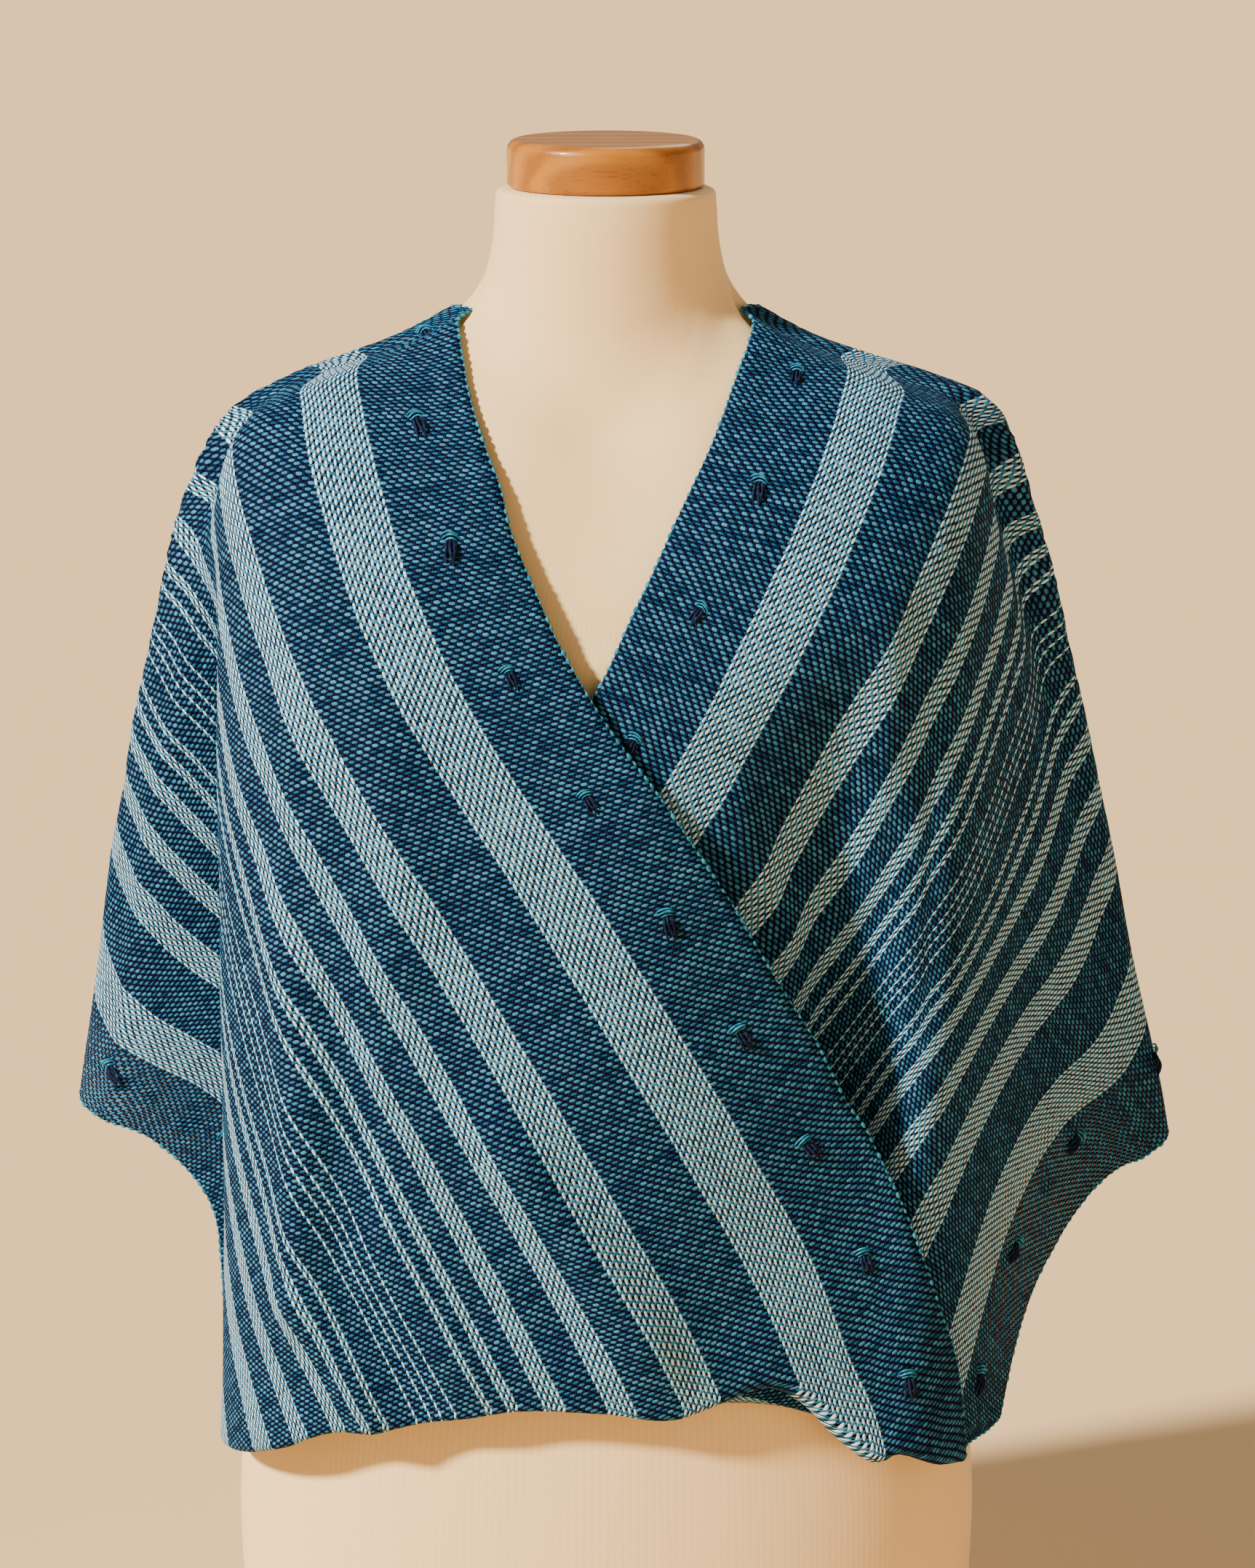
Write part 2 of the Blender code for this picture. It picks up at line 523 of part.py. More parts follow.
def build_cloth(collection):
    """Make the six stretches of the band."""
    band = Band()
    share = np.linspace(0, 1, ACROSS_STEPS + 1)
    half = SEAM_GAP / 2
    crossing_fold = band.fold_start(share, "crossing")
    under_fold = band.fold_start(share, "under", TURN_UP + TURN_UP_GAP)
    stretches = (
        ("shawl_front_crossing", crossing_fold, -SHOULDER_END - half, "front_crossing"),
        ("shawl_left_shoulder", -SHOULDER_END + half, -BACK_END - half, "shoulder"),
        ("shawl_back_left", -BACK_END + half, -half, "back"),
        ("shawl_back_right", half, BACK_END - half, "back"),
        ("shawl_right_shoulder", BACK_END + half, SHOULDER_END - half, "shoulder"),
        ("shawl_front_under", SHOULDER_END + half, under_fold, "front_under"),
    )
    for name, first, last, steps in stretches:
        points, place, ring = stretch_points(band, first, last, ALONG_STEPS[steps], share)
        normals = surface_normals(place, ring)
        if name == "shawl_front_crossing":
            roll = bottom_roll(place[0], ring[0])[::-1]
            points = np.concatenate([roll, points])
            normals = np.concatenate([grid_normals(points)[:len(roll)], normals])
        material = new_material(name + "_cloth", (0.05, 0.16, 0.24), 0.85)
        add_cloth(name, points, normals, material, collection)


def body_ring(row, place):
    """Return the points of one ring of the form at places round it."""
    turn = np.mod(place + BACK, ROUND) - BACK
    angle = np.radians(np.interp(np.abs(turn), np.arange(BACK + 1), ANGLES))
    forward = np.cos(angle)
    x = -np.sign(turn) * row.half_width * np.sin(angle)
    y = np.where(forward > 0, -row.front_y, row.back_y) * -forward
    end_z = np.where(forward > 0, row.front_z, row.back_z)
    z = row.side_z + (end_z - row.side_z) * forward**2
    return np.stack([x, y, z], -1)


def build_form(collection):
    """Make the padded form and the turned cap on its neck."""
    place = np.arange(FORM_AROUND) * ROUND / FORM_AROUND
    rings = [body_ring(row, place) for row in NECK]
    for ring in SHOULDER_RINGS:
        at = np.full(FORM_AROUND, ring)
        clearance = np.interp(ring, (0.7, 1.6), FORM_CLEARANCE)
        rings.append(hanging_surface(place, at) - surface_normals(place, at) * clearance)
    rings += [body_ring(row, place) for row in BODY]
    jersey = new_material("form_jersey", (0.76, 0.62, 0.46), 0.9)
    add_loft("form_body", np.array(rings), jersey, collection)

    top = CAP_BOTTOM_Z + CAP_HEIGHT
    turns = np.linspace(0, math.pi / 2, 5)
    small = CAP_ROUNDING / 2
    profile = [(CAP_RADIUS - CAP_ROUNDING * (1 - math.sin(a)), top - CAP_ROUNDING * (1 - math.cos(a)))
               for a in turns]
    profile += [(CAP_RADIUS - small * (1 - math.cos(a)), CAP_BOTTOM_Z + small * (1 - math.sin(a)))
                for a in turns]
    around = np.arange(CAP_AROUND) * 2 * math.pi / CAP_AROUND
    cap = [np.stack([-radius * np.sin(around), -radius * np.cos(around), 0 * around + z], -1)
           for radius, z in profile]
    wood = new_material("cap_wood", (0.6, 0.33, 0.12), 0.35)
    add_loft("form_neck_cap", np.array(cap), wood, collection)


def main():
    """Clear the scene and make the part."""
    for old in list(bpy.data.objects):
        bpy.data.objects.remove(old, do_unlink=True)
    collection = bpy.data.collections.new("rebozo_shawl")
    bpy.context.scene.collection.children.link(collection)
    build_form(collection)
    build_cloth(collection)


main()
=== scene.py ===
"""Dresses the handwoven band shawl and the dress form that it is worn on.

The shawl is one long striped cloth whose ends are joined after half a turn. One thin
closed shell follows it from the fold at the bottom of the front, over one shoulder,
round the back, over the other shoulder and down under itself to the same fold.
"""

from collections import namedtuple
from dataclasses import dataclass, field
from enum import Enum
import logging
import math
from typing import Any

import bpy
import numpy as np
from mathutils import Matrix, Vector


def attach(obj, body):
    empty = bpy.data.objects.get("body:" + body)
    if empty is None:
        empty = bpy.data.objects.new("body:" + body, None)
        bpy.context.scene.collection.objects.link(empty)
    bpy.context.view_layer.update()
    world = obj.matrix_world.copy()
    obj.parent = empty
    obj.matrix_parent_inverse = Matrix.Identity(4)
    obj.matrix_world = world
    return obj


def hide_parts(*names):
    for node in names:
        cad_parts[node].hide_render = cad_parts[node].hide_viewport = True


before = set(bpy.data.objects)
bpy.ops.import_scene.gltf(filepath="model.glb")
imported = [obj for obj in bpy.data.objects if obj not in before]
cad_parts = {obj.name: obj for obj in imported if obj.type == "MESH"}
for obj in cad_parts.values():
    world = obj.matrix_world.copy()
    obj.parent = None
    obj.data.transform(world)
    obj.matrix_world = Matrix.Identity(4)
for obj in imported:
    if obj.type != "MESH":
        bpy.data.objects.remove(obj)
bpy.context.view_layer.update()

LOG = logging.getLogger("rebozo_shawl")
BODY = "root"
Array = np.ndarray

# The rings that the cloth hangs in, from the neck down: height and depth at the middle of
# the front and of the back. They are the ones of the part's solids.
Middle = namedtuple("Middle", "front_z front_y back_z back_y")
MIDDLE = (
    Middle(0.655, -0.052, 0.682, 0.062), Middle(0.603, -0.085, 0.645, 0.088),
    Middle(0.553, -0.112, 0.600, 0.106), Middle(0.505, -0.126, 0.550, 0.114),
    Middle(0.455, -0.132, 0.495, 0.115), Middle(0.400, -0.133, 0.435, 0.112),
    Middle(0.335, -0.132, 0.355, 0.110), Middle(0.265, -0.128, 0.275, 0.114),
    Middle(0.200, -0.122, 0.205, 0.120), Middle(0.130, -0.116, 0.135, 0.124),
    Middle(0.060, -0.112, 0.065, 0.126), Middle(-0.01, -0.110, -0.005, 0.127),
)
# The same rings on each side: the height there, the front ridge, the side of the body, the
# hollow behind it, the edge of the wing with half its thickness, and its root at the back.
Flank = namedtuple(
    "Flank",
    "side_z ridge_x ridge_y side_x side_y hollow_x hollow_y tip_x tip_y tip_half root_x root_y",
)
SHOULDER_TOP = (
    Flank(0.690, 0.028, -0.048, 0.050, -0.030, 0.060, -0.018, 0.066, 0.002, 0.008, 0.052, 0.038),
    Flank(0.670, 0.052, -0.078, 0.086, -0.046, 0.098, -0.026, 0.105, 0.004, 0.012, 0.086, 0.056),
)
LEFT = SHOULDER_TOP + (
    Flank(0.650, 0.090, -0.100, 0.126, -0.066, 0.140, -0.038, 0.156, 0.006, 0.016, 0.128, 0.070),
    Flank(0.627, 0.118, -0.108, 0.164, -0.066, 0.175, -0.038, 0.191, 0.006, 0.016, 0.156, 0.074),
    Flank(0.580, 0.140, -0.106, 0.179, -0.056, 0.187, -0.024, 0.212, 0.010, 0.018, 0.174, 0.072),
    Flank(0.520, 0.149, -0.102, 0.184, -0.048, 0.186, -0.008, 0.226, 0.016, 0.017, 0.180, 0.072),
    Flank(0.425, 0.149, -0.100, 0.184, -0.046, 0.176, -0.002, 0.245, 0.030, 0.016, 0.182, 0.076),
    Flank(0.345, 0.149, -0.098, 0.184, -0.045, 0.164, 0.003, 0.257, 0.040, 0.015, 0.186, 0.082),
    Flank(0.270, 0.149, -0.095, 0.184, -0.044, 0.162, 0.008, 0.268, 0.046, 0.015, 0.192, 0.086),
    Flank(0.190, 0.149, -0.092, 0.185, -0.042, 0.178, 0.010, 0.276, 0.048, 0.015, 0.196, 0.088),
    Flank(0.100, 0.149, -0.092, 0.186, -0.042, 0.190, 0.012, 0.282, 0.050, 0.015, 0.200, 0.090),
    Flank(0.000, 0.149, -0.092, 0.186, -0.042, 0.192, 0.012, 0.286, 0.050, 0.015, 0.204, 0.090),
)
RIGHT = SHOULDER_TOP + (
    Flank(0.651, 0.090, -0.100, 0.128, -0.068, 0.144, -0.040, 0.160, 0.006, 0.016, 0.132, 0.070),
    Flank(0.632, 0.116, -0.110, 0.162, -0.072, 0.179, -0.040, 0.195, 0.006, 0.016, 0.160, 0.074),
    Flank(0.580, 0.124, -0.108, 0.168, -0.078, 0.193, -0.032, 0.215, 0.010, 0.018, 0.176, 0.072),
    Flank(0.520, 0.126, -0.102, 0.164, -0.082, 0.206, -0.020, 0.230, 0.020, 0.017, 0.180, 0.076),
    Flank(0.425, 0.126, -0.098, 0.160, -0.084, 0.212, -0.010, 0.251, 0.036, 0.016, 0.184, 0.084),
    Flank(0.345, 0.126, -0.094, 0.160, -0.084, 0.220, 0.000, 0.268, 0.052, 0.015, 0.190, 0.092),
    Flank(0.270, 0.127, -0.093, 0.160, -0.082, 0.226, 0.006, 0.285, 0.064, 0.015, 0.198, 0.098),
    Flank(0.190, 0.129, -0.093, 0.162, -0.079, 0.226, 0.010, 0.296, 0.070, 0.015, 0.204, 0.102),
    Flank(0.100, 0.131, -0.094, 0.164, -0.076, 0.226, 0.012, 0.304, 0.072, 0.015, 0.208, 0.104),
    Flank(0.000, 0.132, -0.095, 0.164, -0.074, 0.226, 0.012, 0.310, 0.072, 0.015, 0.212, 0.104),
)
# Where the inner layer passes the front ridge on the right, drawn in to the waist
InnerRidge = namedtuple("InnerRidge", "ridge_x ridge_y")
RIGHT_INNER = (
    InnerRidge(0.028, -0.048), InnerRidge(0.052, -0.078), InnerRidge(0.090, -0.100),
    InnerRidge(0.116, -0.108), InnerRidge(0.118, -0.098), InnerRidge(0.116, -0.086),
    InnerRidge(0.112, -0.074), InnerRidge(0.112, -0.070), InnerRidge(0.117, -0.083),
    InnerRidge(0.121, -0.087), InnerRidge(0.125, -0.090), InnerRidge(0.126, -0.092),
)
# The neck edge of the band on the rings, from the bottom corner on the right, up the
# neckline on the left, round the back and down the right neckline under the front.
Edge = namedtuple("Edge", "place ring")
NECK_EDGE = (
    Edge(-2.24, 10.9), Edge(-2.20, 9.92), Edge(-2.08, 9.00), Edge(-1.62, 8.00), Edge(-0.99, 6.92),
    Edge(-0.74, 6.13), Edge(-0.56, 5.50), Edge(-0.40, 4.79), Edge(-0.185, 3.82),
    Edge(0.02, 3.07), Edge(0.18, 2.51), Edge(0.41, 1.85), Edge(0.77, 1.30),
    Edge(0.97, 1.12), Edge(1.52, 0.81), Edge(2.20, 0.50), Edge(3.00, 0.34),
    Edge(4.00, 0.28), Edge(5.00, 0.27), Edge(6.00, 0.30), Edge(7.00, 0.40),
    Edge(8.00, 0.52), Edge(9.00, 0.57), Edge(10.0, 0.52), Edge(11.0, 0.40),
    Edge(12.0, 0.30), Edge(13.0, 0.27), Edge(14.0, 0.28), Edge(15.0, 0.34),
    Edge(15.6, 0.45), Edge(16.18, 0.57), Edge(16.65, 0.76), Edge(17.08, 1.00),
    Edge(17.42, 1.27), Edge(17.64, 1.57), Edge(17.80, 1.92), Edge(17.89, 2.20),
    Edge(17.98, 2.59), Edge(18.05, 2.90), Edge(18.15, 3.40), Edge(18.31, 4.20),
    Edge(18.53, 5.00), Edge(18.78, 5.80), Edge(19.03, 6.50), Edge(19.48, 7.40),
    Edge(20.00, 8.20), Edge(20.50, 9.00), Edge(20.90, 9.90), Edge(21.10, 10.8),
)
# First guess of where each crossing thread meets the far edge
Far = namedtuple("Far", "start place ring")
FAR_EDGE = (
    Far(-0.94, 1.6, 14.0), Far(-0.86, 1.8, 13.2), Far(-0.70, 2.2, 11.6), Far(-0.58, 2.4, 10.6),
    Far(-0.50, 2.8, 10.0), Far(-0.40, 3.5, 9.0), Far(-0.30, 5.0, 8.0),
    Far(-0.13, 7.0, 8.0), Far(0.0, 9.0, 8.4), Far(0.13, 11.0, 8.0),
    Far(0.30, 13.0, 8.1), Far(0.40, 14.4, 9.0), Far(0.50, 15.5, 9.8),
    Far(0.60, 15.7, 10.8), Far(0.72, 16.0, 11.8), Far(0.95, 16.6, 14.4),
)
# Height of the fold along the bottom of the front, from the right corner to the left
Fold = namedtuple("Fold", "place height")
BOTTOM_FOLD = (
    Fold(-2.6, 0.1130), Fold(-2.0, 0.1190), Fold(-1.4, 0.1300), Fold(-1.0, 0.1305),
    Fold(-0.88, 0.1405), Fold(-0.78, 0.1540), Fold(-0.70, 0.1625), Fold(-0.60, 0.1690),
    Fold(-0.50, 0.1670), Fold(-0.38, 0.1600), Fold(-0.25, 0.1540), Fold(0.0, 0.1570),
    Fold(0.25, 0.1585), Fold(0.6, 0.1475), Fold(0.9, 0.1400), Fold(1.0, 0.1350),
    Fold(1.3, 0.1270), Fold(1.6, 0.1220), Fold(2.0, 0.1185), Fold(2.5, 0.1190),
    Fold(3.2, 0.1210), Fold(4.0, 0.1210),
)
# The dress form: its neck above the cloth, the rings of the cloth that its shoulders fill,
# and the body below them
Ring = namedtuple("Ring", "front_z back_z side_z half_width front_y back_y")
FORM_NECK = (
    Ring(0.7440, 0.7440, 0.7440, 0.0505, -0.0482, 0.0528),
    Ring(0.7425, 0.7425, 0.7425, 0.0535, -0.0512, 0.0558),
    Ring(0.7365, 0.7365, 0.7365, 0.0545, -0.0522, 0.0568),
    Ring(0.7150, 0.7220, 0.7235, 0.0553, -0.0515, 0.0568),
    Ring(0.6920, 0.7080, 0.7117, 0.0570, -0.0503, 0.0575),
    Ring(0.6720, 0.6940, 0.7005, 0.0600, -0.0500, 0.0588),
)
FORM_SHOULDERS = (0.35, 0.7, 1.1, 1.5, 1.9, 2.3)
FORM_BODY = (
    Ring(0.520, 0.560, 0.600, 0.168, -0.116, 0.101),
    Ring(0.480, 0.515, 0.550, 0.159, -0.119, 0.103),
    Ring(0.435, 0.462, 0.488, 0.147, -0.118, 0.102),
    Ring(0.388, 0.405, 0.422, 0.135, -0.110, 0.096),
    Ring(0.335, 0.342, 0.350, 0.127, -0.102, 0.090),
    Ring(0.280, 0.282, 0.285, 0.133, -0.098, 0.090),
    Ring(0.230, 0.230, 0.230, 0.152, -0.098, 0.095),
    Ring(0.180, 0.180, 0.180, 0.171, -0.101, 0.103),
    Ring(0.130, 0.130, 0.130, 0.182, -0.104, 0.109),
    Ring(0.080, 0.080, 0.080, 0.186, -0.105, 0.111),
    Ring(0.030, 0.030, 0.030, 0.184, -0.103, 0.110),
    Ring(0.004, 0.004, 0.004, 0.182, -0.102, 0.109),
    Ring(0.000, 0.000, 0.000, 0.178, -0.098, 0.105),
)
# Angle round the body, in degrees, that answers to each place along a ring
ANGLES = (0, 50, 67, 77, 84, 90, 96, 113, 143, 180)
# Places along a ring are counted from the middle of the front round the left side
BACK = 9
ROUND = 18


def between_knots(f: Array) -> tuple[Array, Array, Array, Array]:
    """Return the weights of a knot, the slope there, the next knot and the slope there."""
    return 2 * f**3 - 3 * f**2 + 1, f**3 - 2 * f**2 + f, 3 * f**2 - 2 * f**3, f**3 - f**2


def unit(vectors: Array) -> Array:
    """Return vectors of the same way and of length 1."""
    return vectors / np.linalg.norm(vectors, axis=-1, keepdims=True)


def smooth(at: Array, knots: Array, values: Array) -> Array:
    """Read a table between its rows along a smooth curve.

    Args:
        at: Where to read it.
        knots: The place of each row.
        values: The rows.

    Returns:
        One row for each place.
    """
    knots = np.asarray(knots, float)
    values = np.asarray(values, float)
    extra = (1,) * (values.ndim - 1)
    gaps = np.diff(knots)
    slopes = np.diff(values, axis=0) / gaps.reshape(-1, *extra)
    share = (gaps[:-1] / (gaps[:-1] + gaps[1:])).reshape(-1, *extra)
    tangents = np.concatenate([slopes[:1], slopes[:-1] * (1 - share) + slopes[1:] * share, slopes[-1:]])
    at = np.clip(at, knots[0], knots[-1])
    row = np.clip(np.searchsorted(knots, at, side="right") - 1, 0, len(gaps) - 1)
    width = gaps[row].reshape(-1, *extra)
    f = (at - knots[row]).reshape(-1, *extra) / width
    knot, leaving, later, arriving = between_knots(f)
    return (knot * values[row] + leaving * width * tangents[row]
            + later * values[row + 1] + arriving * width * tangents[row + 1])


def ease_between(value: Array, low: float, high: float) -> Array:
    """Return 0 below low, 1 above high and a soft step between them."""
    f = np.clip((value - low) / (high - low), 0, 1)
    return f * f * (3 - 2 * f)


def grid_normals(points: Array) -> Array:
    """Return the unit normals of a grid of points."""
    return unit(np.cross(np.gradient(points, axis=0), np.gradient(points, axis=1)))


def running_length(points: Array) -> Array:
    """Return the length along a row of points up to each of them."""
    return np.concatenate([[0.0], np.cumsum(np.linalg.norm(np.diff(points, axis=0), axis=-1))])


def linear(red: int, green: int, blue: int) -> tuple[float, float, float, float]:
    """Return a screen colour, 0 to 255, as the light that a material gives back."""
    parts = [c / 255 for c in (red, green, blue)]
    light = [c / 12.92 if c <= 0.04045 else ((c + 0.055) / 1.055) ** 2.4 for c in parts]
    return (*light, 1.0)


def curve_through(first: tuple, passed: tuple, last: tuple, steps: int) -> Array:
    """Return a row of points on a soft curve that passes three points.

    Args:
        first: Where it starts.
        passed: The point between.
        last: Where it ends.
        steps: How many points there are.

    Returns:
        The points.
    """
    t = np.linspace(0, 1, steps)[:, None]
    first, passed, last = (np.asarray(point, float) for point in (first, passed, last))
    pull = 2 * passed - (first + last) / 2
    return (1 - t)**2 * first + 2 * t * (1 - t) * pull + t**2 * last


def tube_faces(count: int, around: int) -> list[list[int]]:
    """Return the faces between rings of points, with a lid on each end."""
    index = np.arange(count * around).reshape(count, around)
    after = np.roll(index, -1, axis=1)
    sides = np.stack([index[:-1], after[:-1], after[1:], index[1:]], -1)
    return sides.reshape(-1, 4).tolist() + [index[0][::-1].tolist(), index[-1].tolist()]


def plain_mesh(name: str, points: Any, edges: Any = (), faces: Any = ()) -> bpy.types.Mesh:
    """Make a mesh of points, edges and faces."""
    mesh = bpy.data.meshes.new(name)
    mesh.from_pydata(np.reshape(points, (-1, 3)).tolist(), edges, faces)
    return mesh


def in_scene(name: str, data: bpy.types.ID) -> bpy.types.Object:
    """Put a mesh, a light or a camera in the scene as an object."""
    piece = bpy.data.objects.new(name, data)
    bpy.context.scene.collection.objects.link(piece)
    return piece


def finished(name: str, mesh: bpy.types.Mesh, material: bpy.types.Material) -> bpy.types.Object:
    """Make a smooth object of a mesh, with its material, in the scene."""
    mesh.polygons.foreach_set("use_smooth", [True] * len(mesh.polygons))
    mesh.materials.clear()
    mesh.materials.append(material)
    mesh.update()
    return in_scene(name, mesh)


def applied(helper: bpy.types.Object, name: str, material: bpy.types.Material) -> bpy.types.Object:
    """Turn what a helper's node tree makes into a plain piece, and drop the helper."""
    bpy.context.view_layer.update()
    graph = bpy.context.evaluated_depsgraph_get()
    mesh = bpy.data.meshes.new_from_object(helper.evaluated_get(graph), depsgraph=graph)
    helper.modifiers.clear()
    bpy.data.objects.remove(helper, do_unlink=True)
    return finished(name, mesh, material)


class Value:
    """A number in a material or a node tree, with the signs of arithmetic."""

    def __init__(self, tree: "Tree", socket: bpy.types.NodeSocket) -> None:
        """Keep the socket and the tree that it belongs to."""
        self.tree, self.socket = tree, socket

    def _math(self, operation: str, *others: Any) -> "Value":
        """Add a Math node on these numbers, in this order."""
        node = self.tree.node("ShaderNodeMath", {"operation": operation}, dict(enumerate(others)))
        return Value(self.tree, node.outputs[0])

    def __add__(self, other: Any) -> "Value":
        """Return the sum."""
        return self._math("ADD", self, other)

    __radd__ = __add__

    def __sub__(self, other: Any) -> "Value":
        """Return what is left."""
        return self._math("SUBTRACT", self, other)

    def __rsub__(self, other: Any) -> "Value":
        """Return what is left of the other."""
        return self._math("SUBTRACT", other, self)

    def __mul__(self, other: Any) -> "Value":
        """Return the product."""
        return self._math("MULTIPLY", self, other)

    __rmul__ = __mul__

    def __truediv__(self, other: Any) -> "Value":
        """Return the share."""
        return self._math("DIVIDE", self, other)

    def __pow__(self, other: float) -> "Value":
        """Return the power."""
        return self._math("POWER", self, other)

    def whole(self) -> "Value":
        """Return the whole number below."""
        return self._math("FLOOR", self)

    def rest(self) -> "Value":
        """Return what stands after the point."""
        return self._math("FRACT", self)

    def size(self) -> "Value":
        """Return the number without its sign."""
        return self._math("ABSOLUTE", self)

    def sine(self) -> "Value":
        """Return the sine."""
        return self._math("SINE", self)

    def most(self, other: Any) -> "Value":
        """Return the greater of two."""
        return self._math("MAXIMUM", self, other)

    def above(self, other: Any) -> "Value":
        """Return 1 where it is greater than the other, else 0."""
        return self._math("GREATER_THAN", self, other)

    def step(self, low: float, high: float) -> "Value":
        """Return a soft step from 0 at low to 1 at high."""
        node = self.tree.node(
            "ShaderNodeMapRange", {"interpolation_type": "SMOOTHSTEP"},
            {0: self, 1: low, 2: high, 3: 0.0, 4: 1.0},
        )
        return Value(self.tree, node.outputs[0])


class Tree:
    """A node tree that is written in expressions."""

    def __init__(self, tree: bpy.types.NodeTree) -> None:
        """Start on an empty tree."""
        self.tree = tree
        tree.nodes.clear()

    def node(self, kind: str, settings: dict | None = None, sockets: dict | None = None) -> bpy.types.Node:
        """Add a node.

        Args:
            kind: The node's type.
            settings: Its own settings, set first.
            sockets: Values or links of its inputs, by name or number.

        Returns:
            The node.
        """
        node = self.tree.nodes.new(kind)
        for name, setting in (settings or {}).items():
            setattr(node, name, setting)
        for name, value in (sockets or {}).items():
            self.put(node.inputs[name], value)
        return node

    def put(self, socket: bpy.types.NodeSocket, value: Any) -> None:
        """Give a socket a value or a link."""
        if isinstance(value, Value):
            self.tree.links.new(value.socket, socket)
        elif isinstance(value, bpy.types.NodeSocket):
            self.tree.links.new(value, socket)
        else:
            socket.default_value = value


class Paint(Tree):
    """The node tree of one finish."""

    def __init__(self, name: str) -> None:
        """Make the material with its shader and output."""
        self.material = bpy.data.materials.new(name)
        self.material.use_nodes = True
        super().__init__(self.material.node_tree)
        self.shader = self.node("ShaderNodeBsdfPrincipled")
        out = self.node("ShaderNodeOutputMaterial")
        self.tree.links.new(self.shader.outputs[0], out.inputs[0])

    def parts(self, vector: bpy.types.NodeSocket) -> tuple[Value, Value, Value]:
        """Return the three numbers of a vector."""
        node = self.node("ShaderNodeSeparateXYZ", {}, {0: vector})
        return tuple(Value(self, out) for out in node.outputs)

    def joined(self, x: Any, y: Any, z: Any = 0.0) -> bpy.types.NodeSocket:
        """Return a vector of three numbers."""
        return self.node("ShaderNodeCombineXYZ", {}, {0: x, 1: y, 2: z}).outputs[0]

    def thread_map(self, name: str) -> bpy.types.NodeSocket:
        """Return the place on the piece's own map."""
        return self.node("ShaderNodeUVMap", {"uv_map": name}).outputs[0]

    def place(self) -> bpy.types.NodeSocket:
        """Return the place in metres."""
        return self.node("ShaderNodeTexCoord").outputs["Object"]

    def noise(self, vector: Any, scale: float, detail: float = 2.0, roughness: float = 0.5) -> Value:
        """Return a soft noise from 0 to 1."""
        node = self.node("ShaderNodeTexNoise", {"noise_dimensions": "3D"}, {
            "Vector": vector, "Scale": scale, "Detail": detail, "Roughness": roughness})
        return Value(self, node.outputs[0])

    def chance(self, number: Value) -> Value:
        """Return a chance number from 0 to 1 that stays the same for each whole number."""
        node = self.node("ShaderNodeTexWhiteNoise", {"noise_dimensions": "1D"}, {"W": number})
        return Value(self, node.outputs["Value"])

    def attribute(self, name: str) -> Value:
        """Return a number that the mesh carries."""
        return Value(self, self.node("ShaderNodeAttribute", {"attribute_name": name}).outputs["Fac"])

    def mix(self, share: Any, one: Any, two: Any, blend: str = "MIX") -> bpy.types.NodeSocket:
        """Return a mix of two colours."""
        settings = {"data_type": "RGBA", "blend_type": blend}
        return self.node("ShaderNodeMix", settings, {0: share, 6: one, 7: two}).outputs[2]

    def relief(self, height: Value, depth: float, strength: float = 1.0) -> bpy.types.NodeSocket:
        """Return normals for a height from 0 to 1, deep as given in metres."""
        node = self.node("ShaderNodeBump", {}, {"Strength": strength, "Distance": depth, "Height": height})
        return node.outputs[0]

    def finish(self, **sockets: Any) -> bpy.types.Material:
        """Set the shader's sockets, with _ for a space, and return the material."""
        for name, value in sockets.items():
            self.put(self.shader.inputs[name.replace("_", " ")], value)
        return self.material


# One white stripe of the cloth: its distance from the middle of the band and its width,
# both in warp ends, the same on both sides of the middle
Stripe = namedtuple("Stripe", "middle ends")
STRIPES = (
    Stripe(1.5, 1), Stripe(5.5, 1), Stripe(14.0, 2), Stripe(19.5, 3), Stripe(28.5, 5),
    Stripe(42.0, 6), Stripe(58.5, 9), Stripe(87.0, 14),
)


